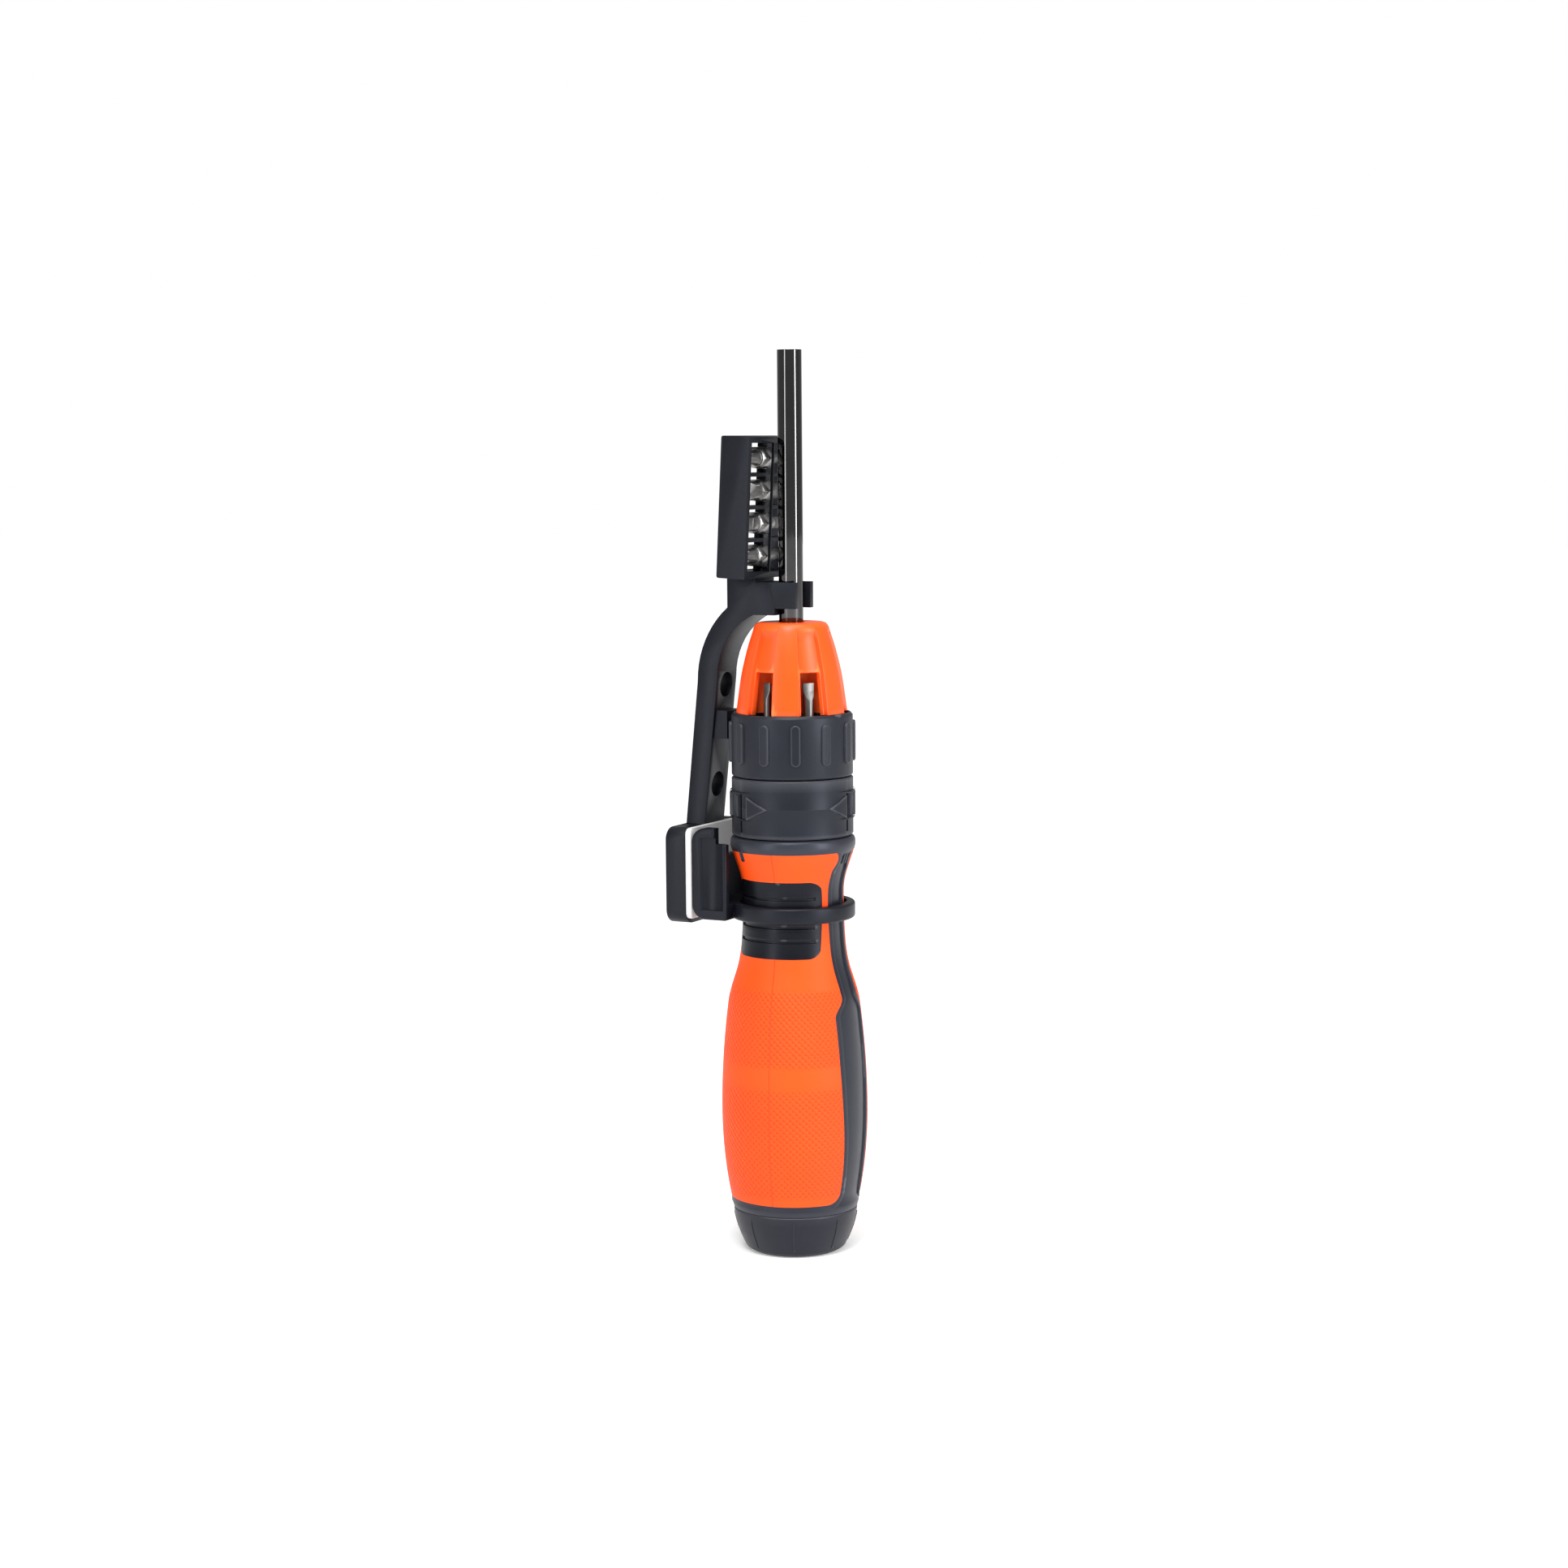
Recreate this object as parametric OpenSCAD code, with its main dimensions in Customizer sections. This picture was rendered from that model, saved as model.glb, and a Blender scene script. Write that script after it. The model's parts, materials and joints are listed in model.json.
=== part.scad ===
// Ratcheting screwdriver with a bit magazine behind its blade,
// standing on its end cap, with a hanging bit rack round its neck.
// Millimetres. +Z runs up the driver's axis from the end cap's face.
// The rack hangs on the -X side, and the grips face -Y and +Y.

/* [End cap] */
// Height of the end cap
cap_h = 13.4; // [11:0.1:18]
// Radius of the flat face that the driver stands on
cap_foot_r = 13.5; // [11:0.1:15]
// Radius of the end cap where it meets the handle
cap_r = 19.1; // [18:0.1:20]
// Count of the thin ridges round the end cap
cap_ridges = 8; // [4:1:12]

/* [Handle] */
// Height of the dark rim below the grips
rim_h = 3.6; // [2:0.1:6]
// Height of the soft grips
grip_h = 107.6; // [88:0.2:128]
// Thickness of the soft grips
grip_t = 2.2; // [1.6:0.1:3]
// Radius at the foot of the grips
foot_r = 19.8; // [19.2:0.1:21]
// Radius at the belly
belly_r = 22.4; // [21.5:0.1:24]
// Radius at the hip, where the handle starts to draw in
hip_r = 20.2; // [19.4:0.1:21]
// Radius half way down the shoulder
shoulder_r = 17.7; // [17:0.1:18.6]
// Radius at the lower end of the neck
neck_low_r = 15.8; // [15.2:0.1:16.2]
// Radius at the upper end of the neck
neck_r = 15.45; // [15:0.05:16]
// Radius at the throat, just under the bead
throat_r = 18.8; // [18:0.1:19.4]
// Distance from the bead down to the hip
hip_drop = 47.6; // [46:0.1:50]
// Distance from the bead down to the middle of the shoulder
shoulder_drop = 38.3; // [37:0.1:40]
// Distance from the bead down to the lower end of the neck
neck_low_drop = 27.1; // [26:0.1:29]
// Distance from the bead down to the upper end of the neck
neck_drop = 12.6; // [11:0.1:14]
// Height of the dark bead at the top of the handle
bead_h = 3.9; // [3.5:0.1:6]
// Radius of the dark bead
bead_r = 19.1; // [18.8:0.1:20]
// Depth of the dark spines below the grip surface
spine_drop = 0.8; // [0.5:0.1:1.5]
// Half width of a spine at its foot
spine_foot = 7.4; // [6:0.1:8.5]
// Half width of a spine where it is widest, under its kink
spine_low = 8.9; // [8:0.1:9.6]
// Half width of a spine along the neck
spine_high = 5.2; // [4:0.1:5.6]
// Half width of a spine under the bead
spine_top = 4.2; // [3.5:0.1:5]
// Width of the flush frame beside each grip
frame_w = 1.8; // [1:0.1:2.2]
// Distance from the bead down to the kink of the spines
kink_drop = 44.4; // [43:0.1:48]
// Radius of the lower corners of the grips
corner_low = 3.6; // [3:0.1:5]
// Radius of the upper corners of the grips
corner_high = 3; // [2:0.1:4]

/* [Neck inserts] */
// Width of a ribbed insert seen from its own side
insert_w = 27; // [22:0.2:27.6]
// Height of a ribbed insert
insert_h = 23.3; // [20:0.1:26]
// Distance from the bead down to the top of an insert
insert_drop = 9; // [8:0.1:11]
// Depth of an insert in its grip
insert_t = 1.6; // [1:0.1:2]
// Number of grooves across an insert
groove_rows = 4; // [2:1:5]
// Distance from one groove to the next
groove_pitch = 4.3; // [3:0.1:4.5]

/* [Selector ring] */
// Height of the selector ring
selector_h = 17.7; // [16.8:0.1:22]
// Outer radius of the selector ring
selector_r = 18.5; // [18:0.1:19.2]
// Wall of the selector ring
selector_wall = 3.6; // [3.2:0.1:3.8]
// How far the arrows and thumb bars stand proud
relief = 0.7; // [0.4:0.1:1]
// Turn from one drive setting to the other, in degrees
selector_turn = 60; // [40:5:60]

/* [Bit magazine] */
// Height of the ribbed collar
collar_h = 19.1; // [18:0.1:23]
// Outer radius of the ribbed collar
collar_r = 18.5; // [18.3:0.1:19]
// Count of the ribs round the collar
collar_ribs = 12; // [8:1:16]
// Height of the nose cone
nose_h = 27.3; // [26:0.1:32]
// Radius of the nose cone where it leaves the collar
nose_r = 17.1; // [16.9:0.05:17.3]
// Radius of the flat top of the nose cone
nose_top_r = 9.6; // [8:0.1:10.5]
// Count of the bits in the magazine
magazine_bits = 6; // [4:1:6]
// Radius of the circle that the stored bits stand on
bit_circle = 12.2; // [11.9:0.05:12.3]
// Height of the windows in the nose cone
window_h = 11.7; // [9:0.1:13]

/* [Drive shaft] */
// Diameter of the drive shaft
shaft_d = 7.4; // [7.3:0.1:7.6]
// Length of the shaft above the nose cone
shaft_reach = 81.7; // [70:0.1:110]
// Depth of the hex socket in the shaft's end
socket_depth = 12; // [9:0.5:16]

/* [Bits] */
// Width across the flats of a bit's hex shank
bit_af = 6.35; // [6.3:0.05:6.4]
// Length of a bit
bit_len = 25; // [24:0.5:27]
// Length of a bit's hex shank
shank_len = 13; // [11:0.5:14]

/* [Ratchet] */
// Count of the teeth of the ratchet gear, a multiple of twelve
gear_teeth = 24; // [24:12:36]
// Radius of the ratchet gear over its teeth
gear_r = 8.6; // [8.3:0.1:8.8]
// Depth of a tooth
tooth_h = 1; // [0.8:0.05:1.1]
// Lift of a pawl when it is out of mesh, in degrees
pawl_lift = 12; // [10:0.5:13]

/* [Neck clip] */
// Inner radius of the ring round the neck
ring_in = 16.4; // [16.2:0.1:17.2]
// Outer radius of the ring round the neck
ring_out = 18.9; // [18.4:0.1:20]
// Height of the ring
ring_h = 4.9; // [3.5:0.1:6]
// Distance from the bead down to the ring's lower face
ring_drop = 21.4; // [20:0.1:22]
// Radius of the hollow of the clip's saddle
saddle_r = 21; // [20.4:0.1:22]
// Distance from the driver's axis to the tips of the saddle
saddle_front = 13.8; // [12:0.1:15]
// Thickness of the pale spacer
pad_t = 1.5; // [1:0.1:2.5]

/* [Rack arm] */
// Width of the back plate, the pad and the clip's plate
plate_w = 37.5; // [34:0.5:42]
// Height of the back plate
plate_h = 29.4; // [28:0.1:34]
// Thickness of the back plate
plate_t = 7.2; // [6.8:0.1:8]
// Thickness of the arm at its foot
arm_t = 6.4; // [5:0.1:6.6]
// Distance from the driver's axis to the front of the back plate
plate_x = 27.2; // [26.8:0.1:30]
// Width of the arm
arm_w = 12.5; // [11:0.5:15]
// Diameter of the two hanging holes in the arm
hole_d = 7.7; // [6:0.1:8.5]
// Height of the fork above the nose cone
fork_rise = 2.2; // [1.5:0.1:4]
// Height of the fork's jaws
jaw_h = 7.9; // [6:0.1:10]
// Reach of the jaws in front of the driver's axis
jaw_reach = 4.5; // [4:0.1:6.5]

/* [Bit rack] */
// Height of the bit rack
tray_h = 42.5; // [41:0.5:52]
// Width of the bit rack
tray_w = 32.8; // [27:0.1:38]
// Depth of the bit rack
tray_d = 10; // [9.8:0.1:12]
// Wall of the bit rack
tray_wall = 1.8; // [1.4:0.1:2.4]
// Lean of the rack towards the shaft, in degrees
tray_lean = 3; // [0:0.5:3.5]
// Count of the bits in the rack
rack_rows = 4; // [2:1:4]
// Distance between two bits in the rack
rack_pitch = 9.83; // [9.5:0.01:10.2]

/* [Hidden] */

$fn = 96;
// Colours of the two plastics, the steel and the pad
dark = "#2b2d31";
black = "#1a1b1d";
orange = "#ff5a22";
steel = "#6d6f73";
bright = "#a9abaf";
// Clearance between pieces that move past each other
run_gap = 0.3;
// Radial clearance of a shaft in its bush
bush_gap = 0.05;
// Clearance of a bit in its pocket
bit_gap = 0.1;
// Overlap of a cutter past the face that it cuts
eps = 0.5;

// Heights of the pieces along the driver's axis
grip_z = cap_h + rim_h;
bead_z = grip_z + grip_h;
bead_top = bead_z + bead_h;
selector_z = bead_top + run_gap;
selector_top = selector_z + selector_h;
collar_z = selector_top + run_gap + 0.1;
nose_z = collar_z + collar_h;
nose_top = nose_z + nose_h;
shaft_top = nose_top + shaft_reach;
shaft_r = shaft_d / 2;

// Stations of the handle's outline: height over the foot, radius and slope.
// The neck keeps its distance from the bead, and the belly takes up the rest.
hip_at = grip_h - hip_drop;
stations = [[0, foot_r, 0.2], [0.45*hip_at, belly_r, 0], [hip_at, hip_r, -0.13],
    [grip_h - shoulder_drop, shoulder_r, -0.32], [grip_h - neck_low_drop, neck_low_r, -0.06],
    [grip_h - neck_drop, neck_r, 0.03], [grip_h, throat_r, 0.3]];
// Points of the outline between two stations
station_steps = 5;
function blend(a, b, t) =
    let (h = b[0] - a[0])
    (2*t*t*t - 3*t*t + 1)*a[1] + (t*t*t - 2*t*t + t)*h*a[2]
    + (3*t*t - 2*t*t*t)*b[1] + (t*t*t - t*t)*h*b[2];
grip_line = concat(
    [for (i = [0 : len(stations) - 2], k = [0 : station_steps - 1])
        let (a = stations[i], b = stations[i + 1], t = k/station_steps)
        [blend(a, b, t), grip_z + a[0] + (b[0] - a[0])*t]],
    [[throat_r, bead_z]]);
function shifted(line, d) = [for (p = line) [p[0] + d, p[1]]];
function backwards(line) = [for (i = [len(line) - 1 : -1 : 0]) line[i]];

// Solid of revolution from the axis out to an outline
module turned(line) {
    rotate_extrude()
        polygon(concat([[0, line[0][1]]], line, [[0, line[len(line) - 1][1]]]));
}

// Ring between two radii
module ring(z, h, r_in, r_out) {
    translate([0, 0, z])
        difference() {
            cylinder(h = h, r = r_out);
            translate([0, 0, -eps])
                cylinder(h = h + 2*eps, r = r_in);
        }
}

// Rectangle with round corners, centred
module round_rect(w, h, r) {
    square([w - 2*r, h], center = true);
    square([w, h - 2*r], center = true);
    for (sx = [-1, 1], sy = [-1, 1])
        translate([sx*(w/2 - r), sy*(h/2 - r)])
            circle(r = r, $fn = 32);
}

// Outline in the XZ plane pushed out along Y, centred
module side_extrude(w) {
    translate([0, w/2, 0])
        rotate([90, 0, 0])
            linear_extrude(height = w)
                children();
}

// Outline in the YZ plane pushed out along +X from x
module front_extrude(x, t) {
    translate([x, 0, 0])
        rotate([90, 0, 90])
            linear_extrude(height = t)
                children();
}

// Outline of the gap between the grips, seen along X, wider by d on each side.
// It flares at both ends round the corners of the grips.
corner_steps = 5;
function flare(r, k) = r*(1 - cos(90*k/corner_steps));
function rise(r, k) = r*(1 - sin(90*k/corner_steps));
function spine_edge(d, foot, top) = concat(
    [[spine_foot + d + corner_low, foot]],
    [for (k = [corner_steps : -1 : 0])
        [spine_foot + d + flare(corner_low, k), grip_z + rise(corner_low, k)]],
    [[spine_low + d, bead_z - kink_drop - 6], [spine_high + d, bead_z - kink_drop],
        [spine_high + d, bead_z - 6], [spine_top + d, bead_z - corner_high]],
    [for (k = [0 : corner_steps])
        [spine_top + d + flare(corner_high, k), bead_z - rise(corner_high, k)]],
    [[spine_top + d + corner_high, top]]);
function mirrored(line) = [for (i = [len(line) - 1 : -1 : 0]) [-line[i][0], line[i][1]]];

// Prism of both spines
module spine_prism(d, foot, top) {
    reach = belly_r + 2*eps;
    edge = spine_edge(d, foot, top);
    front_extrude(-reach, 2*reach)
        polygon(concat(edge, mirrored(edge)));
}

// Prism of one ribbed insert; side is -1 or 1 along Y
module insert_prism(side) {
    translate([0, side*(neck_low_r + 2*eps), bead_z - insert_drop - insert_h/2])
        rotate([90*side, 0, 0])
            linear_extrude(height = neck_low_r)
                round_rect(insert_w, insert_h, 2.5);
}

// End cap with its spigot and thin upright ridges
spigot_r = 14;
spigot_h = 6;
module end_cap() {
    ridge_w = 0.5;
    ridge_out = 0.3;
    ridge_z = 2;
    ridge_h = cap_h - 4.4;
    cap_line = [[cap_foot_r, 0], [cap_foot_r + 1.8, 1.1], [cap_r - 2.6, 3.6], [cap_r - 1.3, 0.52*cap_h],
        [cap_r - 0.5, 0.75*cap_h], [cap_r, cap_h]];
    color(black) {
        turned(cap_line);
        translate([0, 0, cap_h - eps])
            cylinder(h = spigot_h + eps, r = spigot_r);
        intersection() {
            turned(shifted(cap_line, ridge_out));
            for (i = [0 : cap_ridges - 1])
                rotate([0, 0, i*360/cap_ridges - 65])
                    translate([cap_foot_r - 2, -ridge_w/2, ridge_z])
                        cube([cap_r, ridge_w, ridge_h]);
        }
    }
}

// Hard core of the handle: rim, spines and bead, with the ratchet's bore
housing_r = 12;
housing_foot = bead_top - 21;
tail_room = 5;
module handle_core() {
    frame_drop = 0.1;
    inner = shifted(grip_line, -grip_t);
    bead_line = [[throat_r, bead_z], [bead_r, bead_z + 1.2], [bead_r, bead_top - 1.4],
        [bead_r - 0.4, bead_top - 0.5], [bead_r - 1.2, bead_top]];
    color(dark)
        difference() {
            union() {
                turned(concat([[cap_r + 0.1, cap_h], [foot_r, grip_z]], inner, bead_line));
                intersection() {
                    turned(shifted(grip_line, -frame_drop));
                    spine_prism(0, grip_z, bead_z);
                }
            }
            intersection() {
                rotate_extrude()
                    polygon(concat(shifted(grip_line, 2*eps), backwards(shifted(grip_line, -spine_drop))));
                spine_prism(-frame_w, grip_z - eps, bead_z + eps);
            }
            translate([0, 0, cap_h - eps])
                cylinder(h = spigot_h + eps + run_gap, r = spigot_r);
            translate([0, 0, housing_foot])
                cylinder(h = bead_top, r = housing_r);
            translate([0, 0, housing_foot - tail_room])
                cylinder(h = tail_room + eps, r = housing_r - 3);
        }
}

// Soft grip on one side; side is -1 or 1 along Y
module grip(side) {
    color(orange)
        intersection() {
            difference() {
                rotate_extrude()
                    polygon(concat(grip_line, backwards(shifted(grip_line, -grip_t))));
                spine_prism(0, grip_z - eps, bead_z + eps);
                intersection() {
                    insert_prism(side);
                    rotate_extrude()
                        polygon(concat(shifted(grip_line, 2*eps), backwards(shifted(grip_line, -insert_t))));
                }
            }
            translate([-belly_r - eps, side < 0 ? -belly_r - eps : 0, 0])
                cube([2*belly_r + 2*eps, belly_r + eps, bead_top]);
        }
}
module grip_left() { grip(-1); }
module grip_right() { grip(1); }

// Ribbed insert on one grip
module insert(side) {
    groove_h = 0.9;
    groove_depth = 0.5;
    groove_w = insert_w - 2.4;
    spine_gap = 0.1;
    middle = bead_z - insert_drop - insert_h/2;
    color(black)
        difference() {
            intersection() {
                insert_prism(side);
                rotate_extrude()
                    polygon(concat(grip_line, backwards(shifted(grip_line, -insert_t))));
            }
            spine_prism(spine_gap, grip_z - eps, bead_z + eps);
            intersection() {
                for (i = [0 : groove_rows - 1])
                    translate([-groove_w/2, side < 0 ? -belly_r : 0,
                            middle + (i - (groove_rows - 1)/2)*groove_pitch - groove_h/2])
                        cube([groove_w, belly_r, groove_h]);
                rotate_extrude()
                    polygon(concat(shifted(grip_line, 2*eps), backwards(shifted(grip_line, -groove_depth))));
            }
        }
}
module insert_left() { insert(-1); }
module insert_right() { insert(1); }

// Ratchet: the fixed cup, its chamber for the gear and two pawls
cup_r = selector_r - selector_wall - run_gap;
chamber_z = selector_z + 1.8;
chamber_h = 9;
cover_z = chamber_z + chamber_h;
cover_h = 1.6;
cam_z = cover_z + cover_h + run_gap;
cam_h = 2.6;
pawl_z = chamber_z + run_gap;
pawl_h = 7.4;
pivot = [-7.56, 8.4];
pivot_r = 0.8;
boss_r = 1.7;
post_at = [0.2, 10.1];
post_r = 0.8;
post_room = post_r + run_gap;

// Place of a point of the left pawl after it has turned about its pivot
function turned_about_pivot(p, a) =
    let (d = p - pivot)
    pivot + [d[0]*cos(a) - d[1]*sin(a), d[0]*sin(a) + d[1]*cos(a)];

// Outline of the left pawl in mesh: nose, back and arm
module pawl_outline() {
    nose = gear_r - tooth_h + 0.35;
    polygon([[0, nose], [1.4, nose + 1.25], [1.2, 11], [-3, 11.4], pivot + [-0.4, 1.6],
        pivot + [1, -1.2], [-1.5, nose + 1.35]]);
}
module pawl(lift) {
    color(steel)
        translate([pivot[0], pivot[1], pawl_z])
            rotate([0, 0, lift])
                translate([-pivot[0], -pivot[1], 0])
                    difference() {
                        union() {
                            linear_extrude(height = pawl_h)
                                pawl_outline();
                            translate(pivot)
                                cylinder(h = pawl_h, r = boss_r);
                            translate(post_at)
                                cylinder(h = cam_z + cam_h - pawl_z - run_gap, r = post_r);
                        }
                        translate([pivot[0], pivot[1], -eps])
                            cylinder(h = pawl_h + 2*eps, r = pivot_r + bush_gap);
                    }
}
module pawl_left() { pawl(0); }
module pawl_right() {
    mirror([0, 1, 0])
        pawl(pawl_lift);
}

// Room that a pawl sweeps in the cup
module pawl_room() {
    room_r = cup_r - 1.1;
    intersection() {
        translate([0, 0, chamber_z])
            cylinder(h = chamber_h + eps, r = room_r);
        translate([pivot[0] - boss_r - 1.1, gear_r - 2.6, chamber_z - eps])
            cube([boss_r + 4.1 - pivot[0], cup_r, chamber_h + 2*eps]);
    }
}
module ratchet_housing() {
    color(steel)
        difference() {
            union() {
                translate([0, 0, housing_foot])
                    cylinder(h = bead_top - housing_foot + eps, r = housing_r);
                translate([0, 0, bead_top])
                    cylinder(h = cover_z - bead_top, r = cup_r);
            }
            translate([0, 0, housing_foot - eps])
                cylinder(h = selector_top, r = shaft_r + run_gap);
            translate([0, 0, housing_foot - eps])
                cylinder(h = bush_h + eps, r = bush_r);
            translate([0, 0, chamber_z])
                cylinder(h = chamber_h + eps, r = gear_r + 0.4);
            for (m = [0, 1])
                mirror([0, m, 0])
                    pawl_room();
            for (m = [0, 1])
                mirror([0, m, 0])
                    translate([pivot[0], pivot[1], chamber_z - 1.2])
                        cylinder(h = 2, r = pivot_r);
        }
}
module ratchet_cover() {
    slot_steps = 4;
    color(steel)
        difference() {
            ring(cover_z, cover_h, shaft_r + run_gap, cup_r);
            for (m = [0, 1])
                mirror([0, m, 0])
                    for (k = [0 : slot_steps])
                        let (p = turned_about_pivot(post_at, k*pawl_lift/slot_steps))
                        translate([p[0], p[1], cover_z - eps])
                            cylinder(h = cover_h + 2*eps, r = post_room);
            for (m = [0, 1])
                mirror([0, m, 0])
                    translate([pivot[0], pivot[1], cover_z - eps])
                        cylinder(h = 1.2 + eps, r = pivot_r);
        }
}
module pawl_pins() {
    color(bright)
        for (m = [0, 1])
            mirror([0, m, 0])
                translate([pivot[0], pivot[1], chamber_z - 1.2])
                    cylinder(h = chamber_h + 2.4, r = pivot_r);
}

// Torsion springs on the pawl pins, over the pawls
module pawl_springs() {
    wire_r = 0.28;
    color(bright)
        for (m = [0, 1])
            mirror([0, m, 0])
                translate([pivot[0], pivot[1], pawl_z + pawl_h + 2*wire_r])
                    rotate_extrude()
                        translate([pivot_r + wire_r + 0.1, 0])
                            circle(r = wire_r, $fn = 64);
}

// Plain bush at the tail of the shaft
bush_r = 5.4;
bush_h = 8;
module shaft_bush() {
    color("#b08d57")
        ring(housing_foot, bush_h, shaft_r + bush_gap, bush_r);
}

// Selector ring with arrows, thumb bars and index grooves.
// Angles are set at the photographed drive setting.
arrow_mid = -60;
arrow_half = 3.5;
module raised(z, h, half_angle, at, r_out) {
    rotate([0, 0, at - half_angle])
        translate([0, 0, z])
            rotate_extrude(angle = 2*half_angle)
                translate([selector_r - eps, 0])
                    square([r_out - selector_r + eps, h]);
}
module arrow(base, tip) {
    mid = (base + tip)/2;
    half_w = selector_r*PI*abs(tip - base)/360;
    way = sign(tip - base);
    intersection() {
        ring(selector_z, selector_h, selector_r - eps, selector_r + relief);
        rotate([0, 0, mid])
            translate([0, 0, selector_z + selector_h*0.51])
                rotate([90, 0, 90])
                    linear_extrude(height = selector_r + 2*relief)
                        polygon([[-way*half_w, -arrow_half], [way*half_w, 0], [-way*half_w, arrow_half]]);
    }
}
module selector_ring() {
    groove_half = 1.6;
    groove_depth = 0.5;
    bar_z = selector_z + 5.7;
    bar_h = 7.6;
    color(dark)
        difference() {
            union() {
                ring(selector_z, selector_h, selector_r - selector_wall, selector_r);
                for (s = [0, 180]) {
                    arrow(arrow_mid - 51 + s, arrow_mid - 27.5 + s);
                    arrow(arrow_mid + 57 + s, arrow_mid + 33 + s);
                    for (b = [-22, 0, 22])
                        raised(bar_z, bar_h, b == 0 ? 12 : 4, arrow_mid + 90 + s + b, selector_r + relief);
                }
            }
            for (s = [0, 180], side = [-1, 1])
                rotate([0, 0, arrow_mid + s + side*60 - groove_half])
                    translate([0, 0, selector_z - eps])
                        rotate_extrude(angle = 2*groove_half)
                            translate([selector_r - groove_depth, 0])
                                square([2, selector_h*0.75]);
        }
}

// Cam plate inside the selector ring: two slots draw the pawl posts in and out
module cam_slot(side) {
    slot_steps = 12;
    for (k = [0 : slot_steps])
        let (lift = pawl_lift*(side > 0 ? k : slot_steps - k)/slot_steps,
             p = turned_about_pivot(post_at, lift))
        rotate([0, 0, selector_turn*k/slot_steps])
            translate([p[0], side*p[1], cam_z - eps])
                cylinder(h = cam_h + 2*eps, r = post_room);
}
module selector_cam() {
    color(steel)
        difference() {
            ring(cam_z, cam_h, shaft_r + 2.2, selector_r - selector_wall);
            cam_slot(1);
            cam_slot(-1);
        }
}

// Spindle: shaft with its shoulder, hex socket and clip grooves
shoulder_z = cam_z + cam_h + run_gap;
washer_h = 0.9;
shoulder_h = collar_z - washer_h - shoulder_z;
washer_r = 8;
tail_z = housing_foot - 3;
clip_h = 0.8;
tail_clip_z = housing_foot - run_gap - clip_h;
groove_r = shaft_r - 0.6;
module drive_shaft() {
    socket_af = bit_af + 0.08;
    socket_corner_r = shaft_r - 0.2;
    color("#3a3b3e")
        difference() {
            union() {
                translate([0, 0, tail_z])
                    cylinder(h = shaft_top - tail_z, r = shaft_r);
                translate([0, 0, shoulder_z])
                    cylinder(h = shoulder_h, r = shaft_r + 1.8);
            }
            intersection() {
                translate([0, 0, shaft_top - socket_depth])
                    cylinder(h = socket_depth + eps, r = socket_af/sqrt(3), $fn = 6);
                translate([0, 0, shaft_top - socket_depth])
                    cylinder(h = socket_depth + eps, r = socket_corner_r);
            }
            ring(tail_clip_z, clip_h, groove_r, shaft_r + eps);
            ring(magazine_clip_z, clip_h, groove_r, shaft_r + eps);
        }
}
module ratchet_gear() {
    gear_gap = 0.4;
    color(bright)
        translate([0, 0, chamber_z + gear_gap])
            difference() {
                linear_extrude(height = chamber_h - 2*gear_gap)
                    polygon([for (i = [0 : 2*gear_teeth - 1])
                        let (r = i % 2 == 0 ? gear_r - tooth_h : gear_r, a = i*180/gear_teeth)
                        [r*cos(a), r*sin(a)]]);
                translate([0, 0, -eps])
                    cylinder(h = chamber_h + 2*eps, r = shaft_r);
            }
}
module thrust_washer() {
    color(bright)
        ring(shoulder_z + shoulder_h, washer_h, shaft_r, washer_r);
}

// Open retaining clip in a groove of the shaft
module open_clip(z) {
    mouth = 3.4;
    color(bright)
        difference() {
            ring(z, clip_h, groove_r, shaft_r + 1.6);
            translate([0, -mouth/2, z - eps])
                cube([shaft_r + 4, mouth, clip_h + 2*eps]);
        }
}
module tail_clip() { open_clip(tail_clip_z); }
module magazine_clip() { open_clip(magazine_clip_z); }

// Bit magazine: ribbed collar keyed on the shaft; carousel and nose cone turn in it
window_turn = -39.6;
web_h = 1.2;
collar_in = nose_r + run_gap;
skirt_h = 8;
skirt_t = 1.2;
carousel_r = nose_r - skirt_t;
carousel_z = collar_z + web_h + run_gap;
carousel_top = nose_z - 3.3;
magazine_clip_z = carousel_top + run_gap;
pocket_floor = 0.8;
bit_foot = carousel_z + pocket_floor;
module bit_collar() {
    rib_half = 1.15;
    rib_z = collar_z + 4.1;
    rib_h = collar_h - 6.8;
    rib_out = collar_r + 0.65;
    color(dark)
        union() {
            difference() {
                turned([[collar_r, collar_z], [collar_r, nose_z - 1.2], [collar_r - 0.3, nose_z - 0.4],
                    [collar_r - 0.7, nose_z]]);
                translate([0, 0, collar_z + web_h])
                    cylinder(h = collar_h + eps, r = collar_in);
                translate([0, 0, collar_z - eps])
                    cylinder(h = web_h + 2*eps, r = shaft_r);
            }
            intersection() {
                ring(collar_z, collar_h, collar_r - eps, rib_out);
                for (i = [0 : collar_ribs - 1])
                    rotate([0, 0, i*360/collar_ribs])
                        front_extrude(collar_r - 2*eps, 4*eps) {
                            translate([-rib_half, rib_z + rib_half])
                                square([2*rib_half, rib_h - 2*rib_half]);
                            for (z = [rib_z + rib_half, rib_z + rib_h - rib_half])
                                translate([0, z])
                                    circle(r = rib_half, $fn = 32);
                        }
            }
        }
}

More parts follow.
